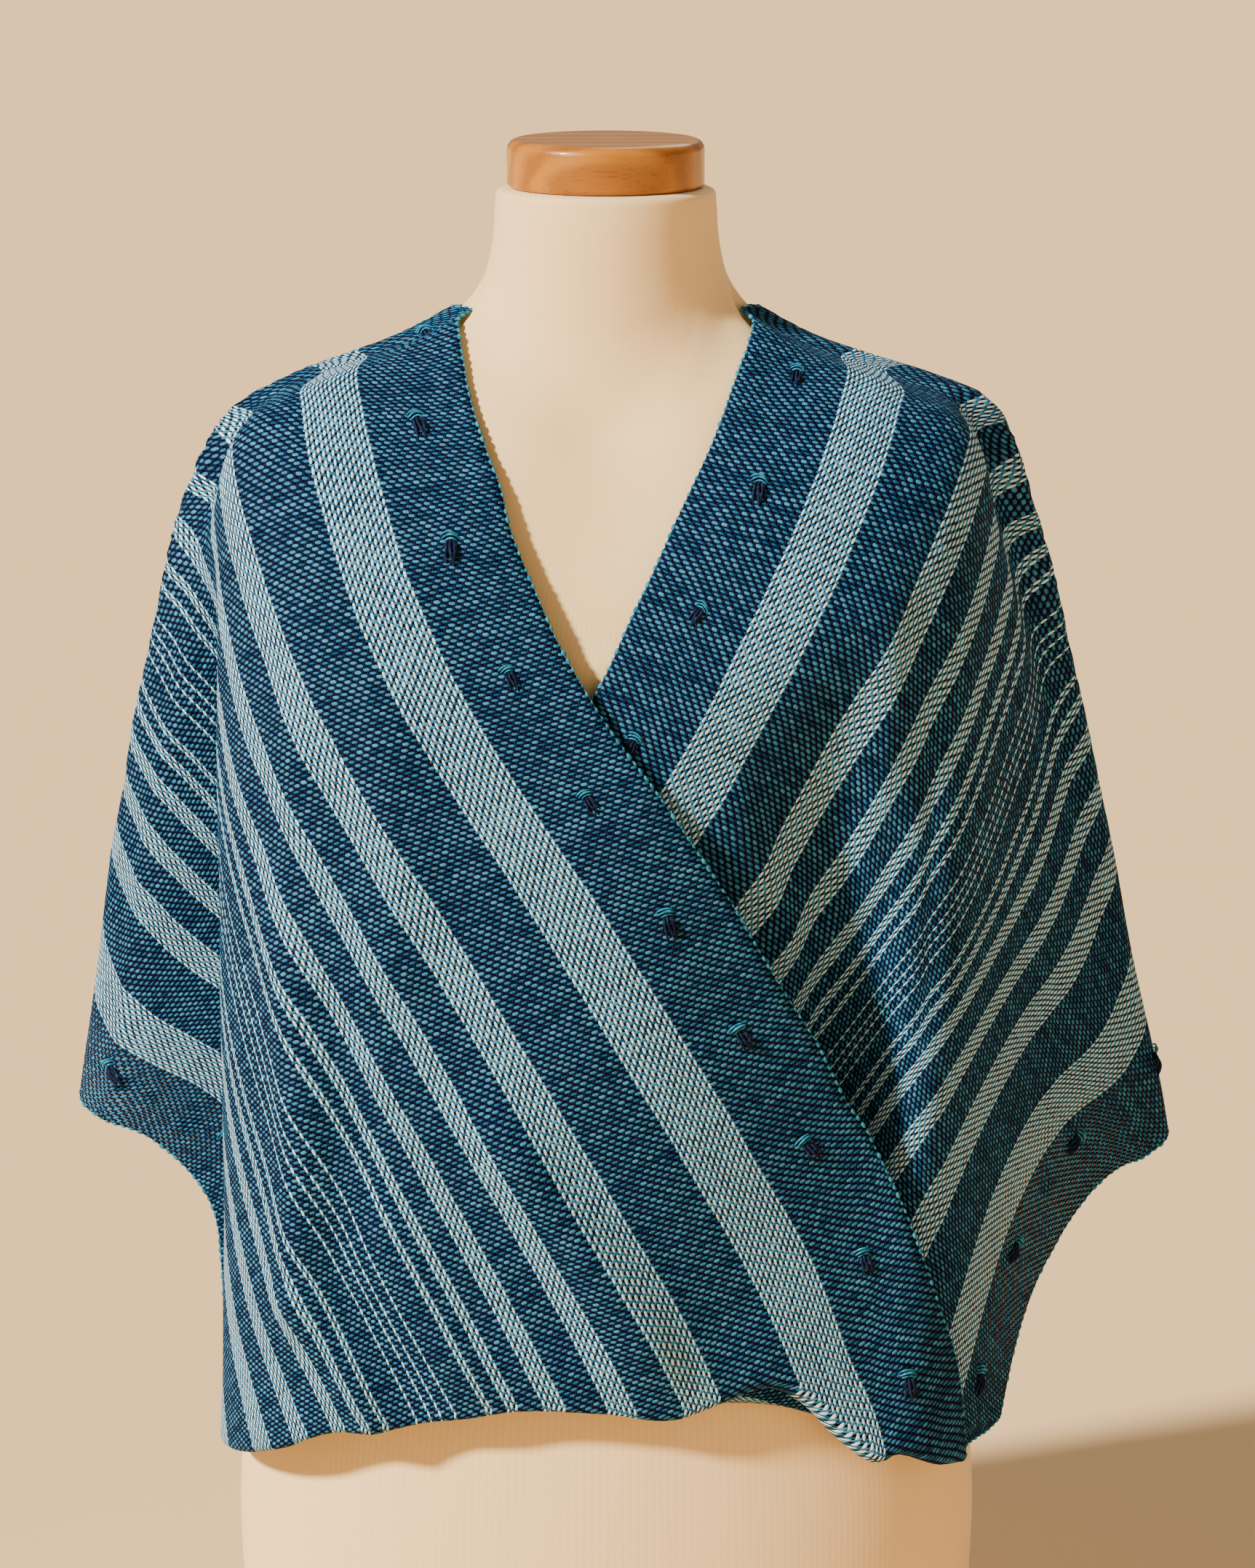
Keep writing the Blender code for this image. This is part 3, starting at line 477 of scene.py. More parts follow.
@dataclass(frozen=True)
class HandwovenCloth:
    """Plain weave of white and navy warp ends with a teal weft, on the map "thread"."""

    end_pitch: float = 0.0020
    pick_pitch: float = 0.00226
    half_ends: int = 118
    end_wander: float = 0.7
    pick_wander: float = 1.6
    dash_half_width: float = 0.245
    dot_half_width: float = 0.28
    float_length: float = 0.74
    float_edge: tuple[float, float] = (-0.05, 0.35)
    relief_depth: float = 0.00062
    # How strongly painted shade darkens each float towards its rim
    rim_shade_share: float = 0.58
    # Size of the painted shade under each inlay, down the band and across it
    inlay_shade_down: float = 0.0040
    inlay_shade_beside: float = 0.0030
    white: tuple = linear(222, 245, 255)
    dull_white: tuple = linear(150, 198, 220)
    navy: tuple = linear(5, 14, 44)
    light_navy: tuple = linear(22, 26, 60)
    teal: tuple = linear(10, 64, 106)
    bright_teal: tuple = linear(64, 146, 184)
    # Painted shade: near black where the threads part, at the rims of the floats and under the inlays
    gap_shade: tuple = linear(1, 3, 9)
    # Painted light: the pale background seen through the open weave
    painted_light_through: tuple = linear(196, 172, 140)

    def float_height(self, beside: Value, along: Value) -> Value:
        """Return how high a float of yarn stands: 1 at its middle, 0 at its rim."""
        along = along / self.float_length
        return 1 - beside * beside - (along * along) ** 2.0

    def material(self) -> bpy.types.Material:
        """Return the material of the cloth."""
        paint = Paint("handwoven_cloth")
        spot = paint.thread_map("thread")
        along, across, _ = paint.parts(spot)
        wander = paint.noise(spot, 16.0)
        drift = paint.noise(paint.joined(across, along), 22.0)
        x = across / self.end_pitch + (wander - 0.5) * self.end_wander
        y = along / self.pick_pitch + (drift - 0.5) * self.pick_wander
        end, pick = x.whole(), y.whole()
        beside_end, beside_pick = x - end - 0.5, y - pick - 0.5
        dash_place, dot_place = (y + end + 0.5) * 0.5, (x + pick + 1.5) * 0.5
        from_dash, from_dot = ((place.rest() - 0.5) * 2 for place in (dash_place, dot_place))
        end_chance, pick_chance = paint.chance(end), paint.chance(pick + 0.5)
        dot_chance = paint.chance(dot_place.whole() * 0.37 + pick * 7.13)
        dash_chance = paint.chance(dash_place.whole() * 0.41 + end * 5.17)
        slub = paint.noise(paint.joined(end * 3.7, along * 60.0), 1.0)
        dash_width = slub * 0.12 + dash_chance * 0.06 + self.dash_half_width
        dot_width = pick_chance * 0.06 + dot_chance * 0.10 + self.dot_half_width
        dash = self.float_height((beside_end + from_dash * 0.13) / dash_width, from_dash)
        dot = self.float_height((beside_pick - from_dot * 0.16) / dot_width, from_dot)
        on_dash = dash.step(*self.float_edge) * dash.above(dot)
        on_dot = dot.step(*self.float_edge)
        height = dash.most(dot).most(0.0) ** 0.5

        from_middle = (end + 0.5 - self.half_ends).size()
        stripe = from_middle * 0
        for one in STRIPES:
            stripe = stripe.most(1 - (from_middle - one.middle).size().above(one.ends / 2))
        worn = paint.noise(spot, 260.0, 3.0)
        navy = paint.mix(end_chance * 0.5 + worn * 0.3, self.navy, self.light_navy)
        dull = end_chance * 0.14 + dash_chance * 0.22 + worn * 0.10
        warp = paint.mix(stripe, navy, paint.mix(dull, self.white, self.dull_white))
        bright = pick_chance * 0.25 + dot_chance * 0.55 + worn * 0.9 - 0.42
        weft = paint.mix(bright, self.teal, self.bright_teal)
        # Painted shade in the gaps between the floats
        colour = paint.mix(on_dot, self.gap_shade, weft)
        colour = paint.mix(on_dash, colour, warp)
        # Painted shade: each float darker towards its rim, where it dips into the weave
        colour = paint.mix((1 - height) * self.rim_shade_share, colour, self.gap_shade)
        # Painted shade: a dark spot under each inlay, where the tuft sits on the cloth
        for row in INLAY_ROWS:
            down = (((along - row.first) / row.spacing + 0.5).rest() - 0.5) * row.spacing / self.inlay_shade_down
            beside = (across - row.from_neck_edge) / self.inlay_shade_beside
            shade_under_inlay = 1 - (down * down + beside * beside).step(0.55, 1.15)
            colour = paint.mix(shade_under_inlay * 0.85, colour, self.gap_shade)
        # Painted light: pale dots in the gaps of the open weave at the lower wing corners
        light_dot_zone = paint.attribute("sheer") * paint.noise(spot, 55.0).step(0.30, 0.52)
        painted_light_dots = (1 - dash.most(dot).step(-0.62, -0.38)) * light_dot_zone
        colour = paint.mix(painted_light_dots, colour, self.painted_light_through)
        fibre = paint.noise(spot, 1400.0, 3.0, 0.7)
        normal = paint.relief(height + fibre * 0.18, self.relief_depth)
        return paint.finish(
            Base_Color=colour, Roughness=0.80 - height * 0.14, Normal=normal,
            Specular_IOR_Level=0.05,
        )


@dataclass(frozen=True)
class Yarn:
    """Loose or packed yarn of one colour, with its twist."""

    name: str
    colour: tuple
    light_colour: tuple

    def material(self) -> bpy.types.Material:
        """Return the material of the yarn."""
        paint = Paint(self.name)
        spot = paint.place()
        shade = paint.noise(spot, 420.0, 3.0)
        fibre = paint.noise(spot, 2600.0, 2.0, 0.7)
        return paint.finish(
            Base_Color=paint.mix(shade.step(0.35, 0.70), self.colour, self.light_colour),
            Roughness=shade * 0.2 + 0.62, Normal=paint.relief(fibre, 0.0003),
            Specular_IOR_Level=0.08,
        )


@dataclass(frozen=True)
class Jersey:
    """Cream knitted cover of the form, on the map "knit": wales round it, courses up it."""

    cream: tuple = linear(255, 220, 158)
    deep_cream: tuple = linear(218, 176, 118)

    def material(self) -> bpy.types.Material:
        """Return the material of the cover."""
        paint = Paint("jersey_cover")
        wale, course, _ = paint.parts(paint.thread_map("knit"))
        across = (wale * (2 * math.pi)).sine()
        up = ((course + wale.whole() * 0.5) * (2 * math.pi)).sine()
        stitch = (across * 0.5 + 0.5) * (up * 0.3 + 0.7)
        cloud = paint.noise(paint.place(), 9.0, 3.0)
        pill = paint.noise(paint.place(), 700.0, 2.0)
        # Painted shade: darker between the stitches, where the knit dips; the cloudy and pilled tone is the
        # cover's own
        share = (1 - stitch) * 0.18 + cloud * 0.20 + pill * 0.16
        return paint.finish(
            Base_Color=paint.mix(share, self.cream, self.deep_cream),
            Roughness=cloud * 0.1 + 0.78, Normal=paint.relief(stitch + pill * 0.4, 0.00008, 0.35),
            Specular_IOR_Level=0.3, Sheen_Weight=0.12,
        )


@dataclass(frozen=True)
class TurnedWood:
    """Honey maple under gloss varnish, its grain running from left to right."""

    honey: tuple = linear(188, 120, 30)
    amber: tuple = linear(112, 52, 10)
    rings_back: float = 330.0
    rings_up: float = 210.0
    sway: float = 9.0

    def material(self) -> bpy.types.Material:
        """Return the material of the cap."""
        paint = Paint("turned_wood")
        x, y, z = paint.parts(paint.place())
        spot = paint.joined(x * 5.0, y * 34.0, z * 48.0)
        sway = paint.noise(spot, 1.0, 3.0)
        ring = (y * self.rings_back + z * self.rings_up + sway * self.sway).sine() * 0.5 + 0.5
        pore = paint.noise(paint.joined(x * 60.0, y * 900.0, z * 900.0), 1.0, 2.0)
        flame = paint.noise(paint.joined(x * 30.0, y * 14.0, z * 20.0), 1.0, 2.0)
        share = ring * 0.42 + pore.step(0.55, 0.75) * 0.25 + flame * 0.30
        return paint.finish(
            Base_Color=paint.mix(share, self.honey, self.amber), Roughness=pore * 0.12 + 0.30,
            Normal=paint.relief(pore, 0.00008), Specular_IOR_Level=0.3,
            Coat_Weight=0.3, Coat_Roughness=0.06,
        )


@dataclass(frozen=True)
class PaleFloor:
    """Plain pale studio floor."""

    colour: tuple = linear(240, 198, 142)

    def material(self) -> bpy.types.Material:
        """Return the material of the floor."""
        return Paint("pale_floor").finish(Base_Color=self.colour, Roughness=0.95)


@dataclass
class HangingSurface:
    """The surface that the cloth hangs in, read at places along its rings."""

    ring_drop: float = 0.07
    slope_step: float = 0.003

    @staticmethod
    def ring_points(middle: Array, flank: Array) -> Array:
        """Return the ten named points of each ring on one side, x outwards."""
        front_z, front_y, back_z, back_y = np.moveaxis(middle, -1, 0)
        (side_z, ridge_x, ridge_y, side_x, side_y, hollow_x, hollow_y,
         tip_x, tip_y, tip_half, root_x, root_y) = np.moveaxis(flank, -1, 0)
        zero = 0 * front_z
        shoulder_x = tip_x - 1.1 * tip_half
        points = (
            (zero, front_y, front_z),
            (ridge_x, ridge_y, 0.72 * front_z + 0.28 * side_z),
            (side_x, side_y, 0.25 * front_z + 0.75 * side_z),
            (hollow_x, hollow_y, 0.06 * front_z + 0.94 * side_z),
            (shoulder_x, tip_y - tip_half, side_z),
            (tip_x, tip_y, side_z),
            (shoulder_x, tip_y + tip_half, side_z),
            (root_x, root_y, 0.80 * side_z + 0.20 * back_z),
            (0.62 * root_x, 0.25 * root_y + 0.75 * back_y, 0.30 * side_z + 0.70 * back_z),
            (zero, back_y, back_z),
        )
        return np.stack([np.stack(point, -1) for point in points], -2)

    def points(self, place: Array, ring: Array) -> Array:
        """Return the surface's points.

        Args:
            place: Places along the rings, as grid or row.
            ring: Rings from the neck down, of the same shape.

        Returns:
            The points, with x, y and z last.
        """
        shape = np.shape(place)
        turn, ring = np.ravel(place).astype(float), np.ravel(ring).astype(float)
        below = np.maximum(ring - (len(MIDDLE) - 1), 0)
        ring = np.clip(ring, 0, len(MIDDLE) - 1)
        place = np.mod(turn + BACK, ROUND) - BACK
        on_left = place >= 0
        knots = np.arange(len(MIDDLE))
        right = np.array(RIGHT)
        inner = right.copy()
        inner[:, 1:3] = np.array(RIGHT_INNER)
        flank = np.where(on_left[:, None], smooth(ring, knots, LEFT), smooth(ring, knots, right))
        is_inner = (turn > BACK) & ~on_left
        flank = np.where(is_inner[:, None], smooth(ring, knots, inner), flank)
        points = self.ring_points(smooth(ring, knots, MIDDLE), flank)
        mirror = np.array([-1.0, 1.0, 1.0])
        points = np.concatenate([points[:, 1:2] * mirror, points, points[:, 8:9] * mirror], axis=1)
        along = np.clip(np.abs(place), 0, BACK)
        first = np.clip(np.floor(along).astype(int), 0, BACK - 1)
        f = (along - first)[:, None]
        rows = np.arange(len(along))
        a, b, c, d = (points[rows, first + k] for k in range(4))
        steps = ((a, b), (b, c), (c, d))
        ab, bc, cd = (np.sqrt(np.linalg.norm(q - p, axis=1))[:, None] for p, q in steps)
        start = ((b - a) / ab - (c - a) / (ab + bc) + (c - b) / bc) * bc
        end = ((c - b) / bc - (d - b) / (bc + cd) + (d - c) / cd) * bc
        knot, leaving, later, arriving = between_knots(f)
        found = knot * b + leaving * start + later * c + arriving * end
        found[:, 0] *= np.where(on_left, -1, 1)
        found[:, 2] -= self.ring_drop * below
        return found.reshape(shape + (3,))

    def slopes(self, place: Array, ring: Array) -> tuple[Array, Array]:
        """Return how the surface moves along a ring and from ring to ring."""
        step = self.slope_step
        mid = np.maximum(ring, step)
        along = self.points(place + step, ring) - self.points(place - step, ring)
        down = self.points(place, mid + step) - self.points(place, mid - step)
        return along / (2 * step), down / (2 * step)

    def normals(self, place: Array, ring: Array) -> Array:
        """Return the outward normals."""
        return unit(np.cross(*self.slopes(place, ring)))


@dataclass
class LaidBand:
    """The band laid in the hanging surface as a net of threads that keep their lengths."""

    surface: HangingSurface
    width: float = 0.472
    layer_gap: float = 0.0064
    wing_ease: tuple[float, float] = (0.10, 0.06)
    ridge_ease: float = 0.42
    side_ease: float = 0.16
    tip_ease: float = 0.13
    back_ease: float = 0.20
    step: float = 0.02
    columns: int = 24
    rounds: int = 400
    calm: tuple[float, float] = (0.16, 0.05)
    far_tie: float = 0.35
    slant_tie: float = 0.14
    pull: float = 1.6
    longest_move: float = 0.15
    edge_steps: int = 2400
    fold_steps: int = 400
    fold_search: float = 0.30
    highest_ring: float = 0.27
    rings_down: float = 6.0
    start: Array = field(init=False)
    grid: Array = field(init=False)

    def __post_init__(self) -> None:
        """Lay the net."""
        fine, distance = self.neck_edge()
        first, last = math.ceil(distance[0] / self.step), int(distance[-1] / self.step)
        self.start = np.arange(first, last + 1) * self.step
        far = np.array(FAR_EDGE)
        share = np.linspace(0, 1, self.columns + 1)
        near = [np.interp(self.start, distance, fine[:, k])[:, None] for k in (0, 1)]
        away = [np.interp(self.start, far[:, 0], far[:, k])[:, None] for k in (1, 2)]
        place, ring = (n * (1 - share) + a * share for n, a in zip(near, away))
        self.grid = self.relax(place, ring, near[1], share)

    def neck_edge(self) -> tuple[Array, Array]:
        """Return fine places along the neck edge and their distances from the back seam."""
        rows = np.array(NECK_EDGE)
        fine = smooth(np.linspace(0, len(rows) - 1, self.edge_steps), np.arange(len(rows)), rows)
        length = running_length(self.surface.points(fine[:, 0], fine[:, 1]))
        return fine, length - np.interp(BACK, fine[:, 0], length)

    def rests(self, share: Array) -> tuple[Array, Array]:
        """Return the lengths that the net's threads settle to, along and across the band."""
        start = self.start
        in_wing = ease_between(np.abs(start), 0.15, 0.34)[:, None] * ease_between(share[1:], 0.25, 0.60)
        at_ridge = ease_between(share[1:], 0.30, 0.45) - ease_between(share[1:], 0.60, 0.76)
        at_ridge = ease_between(start, 0.28, 0.42)[:, None] * at_ridge
        at_side = ease_between(-start, 0.37, 0.47)[:, None] * ease_between(share[1:], 0.40, 0.60)
        at_tip = ease_between(-start, 0.08, 0.24) - ease_between(-start, 0.31, 0.46)
        at_tip = at_tip[:, None] * ease_between(share[1:], 0.25, 0.55)
        wing_ease = np.where(start < 0, *self.wing_ease)[:, None]
        slack = wing_ease * in_wing + self.ridge_ease * at_ridge
        slack = slack + self.side_ease * at_side + self.tip_ease * at_tip
        across = self.width / self.columns * (1 - slack)[..., None]
        on_back = 1 - ease_between(np.abs(start), 0.14, 0.30)[:, None]
        along = self.step * (1 + self.back_ease * on_back * ease_between(share, 0.04, 0.30))[..., None]
        return along, across

    def relax(self, place: Array, ring: Array, near_ring: Array, share: Array) -> Array:
        """Work the net until its threads have their lengths.

        Args:
            place: First places of the net's crossings.
            ring: First rings of the net's crossings.
            near_ring: The ring of the neck edge for each crossing thread.
            share: The lengthwise threads' shares across the band.

        Returns:
            Place and ring of each crossing.
        """
        along, across = self.rests(share)
        at_seam = np.argmin(np.abs(self.start))
        behind_neck = 1 - ease_between(np.abs(self.start), 0.13, 0.20)[:, None]
        highest = self.highest_ring + (near_ring + self.rings_down * share - self.highest_ring) * behind_neck
        slant = np.hypot(along[:-1, 1:], across[:-1])
        every = np.s_
        ties = (
            (every[:-1, :], every[1:, :], along[:-1], 1.0),
            (every[:, :-1], every[:, 1:], across, 1.0),
            (every[:-2, :], every[2:, :], 2 * along[1:-1], self.far_tie),
            (every[:, :-2], every[:, 2:], across[:, :-1] + across[:, 1:], self.far_tie),
            (every[:-1, :-1], every[1:, 1:], slant, self.slant_tie),
            (every[1:, :-1], every[:-1, 1:], slant, self.slant_tie),
        )
        for calm in np.linspace(*self.calm, self.rounds):
            points = self.surface.points(place, ring)
            pull, weight = np.zeros_like(points), np.zeros(points.shape[:2])
            for one, two, rest, strength in ties:
                span = points[two] - points[one]
                length = np.linalg.norm(span, axis=-1, keepdims=True) + 1e-9
                move = strength * 0.5 * (length - rest) / length * span
                pull[one] += move
                pull[two] -= move
                weight[one] += strength
                weight[two] += strength
            pull *= self.pull / weight[..., None]
            pull[:, 0] = 0
            slope_along, slope_down = self.surface.slopes(place, ring)
            aa = np.sum(slope_along**2, -1) + 1e-7
            ab = np.sum(slope_along * slope_down, -1)
            bb = np.sum(slope_down**2, -1) + 1e-7
            pa, pb = np.sum(slope_along * pull, -1), np.sum(slope_down * pull, -1)
            spread = aa * bb - ab * ab
            most = self.longest_move
            place = place + np.clip((bb * pa - ab * pb) / spread, -most, most)
            ring = np.maximum(ring + np.clip((aa * pb - ab * pa) / spread, -most, most), highest)
            place[at_seam] = BACK
            for grid in (place, ring):
                beside = grid[:-2, 1:-1] + grid[2:, 1:-1] + grid[1:-1, :-2] + grid[1:-1, 2:]
                grid[1:-1, 1:-1] += calm * (beside / 4 - grid[1:-1, 1:-1])
                grid[1:-1, -1] += calm * ((grid[:-2, -1] + grid[2:, -1]) / 2 - grid[1:-1, -1])
        return np.stack([place, ring], -1)

    def read(self, start: Array, share: Array) -> tuple[Array, Array]:
        """Return place and ring at distances along the band and shares across it."""
        grid = np.pad(self.grid, ((1, 1), (1, 1), (0, 0)), mode="reflect", reflect_type="odd")
        spots = (np.clip((start - self.start[0]) / self.step, 0, len(self.start) - 1.0001),
                 np.clip(share * self.columns, 0, self.columns - 0.0001))
        cells = [np.floor(s).astype(int) for s in spots]
        shares = [self.cubic(s - c) for s, c in zip(spots, cells)]
        found = 0.0
        for i in range(4):
            for j in range(4):
                weight = shares[0][i] * shares[1][j]
                found = found + weight[..., None] * grid[cells[0] + i, cells[1] + j]
        return found[..., 0], found[..., 1]

    @staticmethod
    def cubic(f: Array) -> tuple[Array, Array, Array, Array]:
        """Return the four weights of a smooth curve between two knots."""
        return (
            (-f**3 + 2 * f**2 - f) / 2, (3 * f**3 - 5 * f**2 + 2) / 2,
            (-3 * f**3 + 4 * f**2 + f) / 2, (f**3 - f**2) / 2,
        )

    def fold_start(self, share: Array, side: int, raised: float = 0.0) -> Array:
        """Return where each lengthwise thread meets the bottom fold.

        Args:
            share: The threads' shares across the band.
            side: -1 for the crossing layer, 1 for the layer under it.
            raised: How far above the fold to look.

        Returns:
            The start of each thread.
        """
        heights = np.array(BOTTOM_FOLD)
        ends = self.start[0 if side < 0 else -1], side * self.fold_search
        guess = np.linspace(*ends, self.fold_steps)[:, None] + 0 * share
        place, ring = self.read(guess, share + 0 * guess)
        on_front = place if side < 0 else place - ROUND
        fold = smooth(on_front.ravel(), heights[:, 0], heights[:, 1]).reshape(place.shape)
        above = self.surface.points(place, ring)[..., 2] - fold - raised
        starts = []
        for column in range(len(share)):
            inside = np.nonzero(above[:, column] <= 0)[0]
            last = min(inside[-1] if len(inside) else 0, len(guess) - 2)
            low, high = above[last, column], above[last + 1, column]
            f = low / (low - high) if len(inside) else 0.0
            starts.append(guess[last, column] + f * (guess[last + 1, column] - guess[last, column]))
        return np.array(starts)

    def cloth_points(self, place: Array, ring: Array) -> Array:
        """Return the middle of the cloth, the crossing layer lifted off the one under it."""
        lift = self.layer_gap * (1 - ease_between(place, 3.2, 5.5)) * ease_between(ring, 0.8, 2.9)
        return self.surface.points(place, ring) + self.surface.normals(place, ring) * lift[..., None]


class Layer(Enum):
    """The stretch of the band that a crease lies on."""

    LEFT = "front and wing on the left"
    BACK = "back"
    RIGHT = "front and wing on the right"


# One crease, seen from the front: its two ends and the point that it passes between them,
# in metres, its height outwards and half of its width. Troughs have a height below 0.
Crease = namedtuple("Crease", "layer x0 z0 xm zm x1 z1 height half_width")
CREASES = (
    Crease(Layer.LEFT, -0.166, 0.560, -0.168, 0.480, -0.166, 0.400, -0.0030, 0.0110),
    Crease(Layer.LEFT, -0.167, 0.430, -0.150, 0.305, -0.158, 0.165, 0.0084, 0.0120),
    Crease(Layer.LEFT, -0.138, 0.400, -0.124, 0.300, -0.128, 0.220, -0.0028, 0.0120),
    Crease(Layer.LEFT, -0.074, 0.325, -0.014, 0.245, 0.046, 0.146, 0.0098, 0.0125),
    Crease(Layer.LEFT, -0.036, 0.320, 0.026, 0.240, 0.078, 0.165, -0.0030, 0.0150),
    Crease(Layer.LEFT, -0.122, 0.335, -0.052, 0.240, 0.006, 0.168, -0.0034, 0.0150),
    Crease(Layer.LEFT, -0.124, 0.275, -0.094, 0.210, -0.050, 0.150, 0.0046, 0.0130),
    Crease(Layer.LEFT, -0.158, 0.222, -0.136, 0.182, -0.104, 0.130, 0.0068, 0.0105),
    Crease(Layer.LEFT, -0.138, 0.225, -0.108, 0.180, -0.078, 0.140, -0.0026, 0.0110),
    Crease(Layer.LEFT, -0.120, 0.540, -0.102, 0.430, -0.112, 0.340, 0.0050, 0.0180),
    Crease(Layer.RIGHT, 0.139, 0.580, 0.134, 0.470, 0.120, 0.370, 0.0060, 0.0130),
    Crease(Layer.RIGHT, 0.157, 0.540, 0.160, 0.430, 0.156, 0.300, -0.0046, 0.0100),
    Crease(Layer.RIGHT, 0.052, 0.480, 0.074, 0.425, 0.098, 0.350, 0.0044, 0.0110),
    Crease(Layer.RIGHT, 0.100, 0.430, 0.104, 0.360, 0.108, 0.270, -0.0024, 0.0100),
    Crease(Layer.BACK, -0.120, 0.600, -0.070, 0.480, -0.030, 0.330, 0.0121, 0.0180),
    Crease(Layer.BACK, 0.110, 0.610, 0.075, 0.470, 0.050, 0.300, 0.0109, 0.0200),
    Crease(Layer.BACK, -0.060, 0.560, 0.000, 0.520, 0.070, 0.565, 0.0070, 0.0160),
    Crease(Layer.BACK, -0.196, 0.530, -0.186, 0.420, -0.200, 0.300, 0.0078, 0.0140),
    Crease(Layer.BACK, 0.186, 0.560, 0.196, 0.430, 0.186, 0.310, -0.0032, 0.0130),
    Crease(Layer.BACK, -0.150, 0.420, -0.120, 0.330, -0.110, 0.230, -0.0016, 0.0150),
)


@dataclass
class ShawlBand:
    """The whole band as one thin closed shell, joined to itself after its half turn."""

    band: LaidBand
    finish: HandwovenCloth
    wall: float = 0.0013
    columns: int = 112
    front_rows: int = 104
    back_rows: int = 172
    split: float = 0.36
    roll_rows: int = 9
    turn_up: float = 0.012
    turn_up_rows: int = 2
    unevenness: float = 0.0007
    crease_steps: int = 61
    calm_rows: float = 14.0
    lap: float = 0.004
    chances: tuple[int, int] = (40, 14)
    seed: int = 11

    def lay(self) -> tuple[Array, Array, Array]:
        """Return the band's points, and each one's distance along it and across it."""
        share = np.linspace(0, 1, self.columns + 1)
        crossing = self.band.fold_start(share, -1)
        under = self.band.fold_start(share, 1, self.turn_up)
        start = np.concatenate([
            self.between(crossing, -self.split, self.front_rows)[:-1],
            self.between(-self.split, self.split, self.back_rows)[:-1] + 0 * share,
            self.between(self.split, under, self.front_rows),
        ])
        place, ring = self.band.read(start, share + 0 * start)
        points = self.band.cloth_points(place, ring)
        lift = self.creases(points, place) + self.uneven(start, share + 0 * start)
        fade = 1 - ease_between(np.arange(len(points)) - len(points), -self.calm_rows, -1.0)[:, None]
        points = points + grid_normals(points) * (lift * fade)[..., None]
        roll, roll_start = self.bottom_roll(points, place[0], ring[0], start[0])
        return np.concatenate([roll, points]), np.concatenate([roll_start, start]), share

    @staticmethod
    def between(first: Any, last: Any, rows: int) -> Array:
        """Return rows of starts between two starts, each a number or one for each thread."""
        f = np.linspace(0, 1, rows + 1)[:, None]
        return first * (1 - f) + last * f

    def creases(self, points: Array, place: Array) -> Array:
        """Return how far the listed creases lift the cloth."""
        weights = {
            Layer.LEFT: 1 - ease_between(place, 5.0, 6.0),
            Layer.BACK: ease_between(place, 5.6, 7.0) * (1 - ease_between(place, 11.0, 12.4)),
            Layer.RIGHT: ease_between(place, 12.0, 13.0),
        }
        lift = np.zeros(place.shape)
        t = np.linspace(0, 1, self.crease_steps)
        for crease in CREASES:
            ends = (crease.x0, crease.z0), (crease.xm, crease.zm), (crease.x1, crease.z1)
            x, z = curve_through(*ends, self.crease_steps).T
            away = np.hypot(points[..., 0, None] - x, points[..., 2, None] - z)
            nearest = np.argmin(away, axis=-1)
            near = np.min(away, axis=-1)
            along = t[nearest]
            fade = ease_between(along, 0.0, 0.3) * (1 - ease_between(along, 0.75, 1.0))
            lift += weights[crease.layer] * crease.height * fade * np.exp(-(near / crease.half_width)**2)
        return lift

    def uneven(self, start: Array, share: Array) -> Array:
        """Return the slight unevenness of handwoven cloth that hangs."""
        chance = np.random.default_rng(self.seed).uniform(-1, 1, self.chances)
        across = smooth(share[0], np.linspace(0, 1, self.chances[1]), chance.T)
        rows = np.linspace(-1.0, 1.0, self.chances[0])
        found = np.empty(start.shape)
        for column in range(start.shape[1]):
            found[:, column] = smooth(start[:, column], rows, across[column])
        return self.unevenness * found

    def bottom_roll(self, points: Array, place: Array, ring: Array, start: Array) -> tuple[Array, Array]:
        """Return the fold at the bottom, from the layer under it round to the outer one.

        Args:
            points: The band's points, the crossing layer's fold first and the other end last.
            place: Places of the fold's threads.
            ring: Rings of the fold's threads.
            start: Starts of the fold's threads.

        Returns:
            The rows of the fold and the start of each of their points.
        """
        surface = self.band.surface
        outer, inner = points[0], surface.points(place + ROUND, ring)
        middle, half = (outer + inner) / 2, (outer - inner) / 2
        depth = np.linalg.norm(half, axis=-1, keepdims=True)
        down = np.array([0.0, 0.0, -1.0]) * np.minimum(depth, self.band.layer_gap)
        rows = [middle + half * math.cos(angle) + down * math.sin(angle)
                for angle in np.linspace(0, math.pi, self.roll_rows + 1)[1:]]
        drop = np.abs(surface.slopes(place + ROUND, ring)[1][:, 2])
        offset = points[-1][::-1] - surface.points(place + ROUND, ring - self.turn_up / drop)
        for step in range(1, self.turn_up_rows + 1):
            f = step / (self.turn_up_rows + 1)
            raised = surface.points(place + ROUND, ring - self.turn_up * f / drop)
            rows.append(raised + offset * f * f * (3 - 2 * f))
        rows = np.array(rows)
        passed = np.cumsum(np.linalg.norm(np.diff(rows, axis=0, prepend=outer[None]), axis=-1), axis=0)
        return rows[::-1], (start - passed)[::-1]

    def sheer_light_dots(self, start: Array, share: Array) -> Array:
        """Return where pale dots of painted light stand for light through the open weave, at the lower
        corners of the wings.
        """
        right = np.exp(-((start - 0.42) / 0.07)**2) * ease_between(share, 0.84, 0.92)
        left = np.exp(-((start + 0.33) / 0.05)**2) * ease_between(share, 0.88, 0.96)
        return np.clip(right + 0.7 * left, 0, 1)

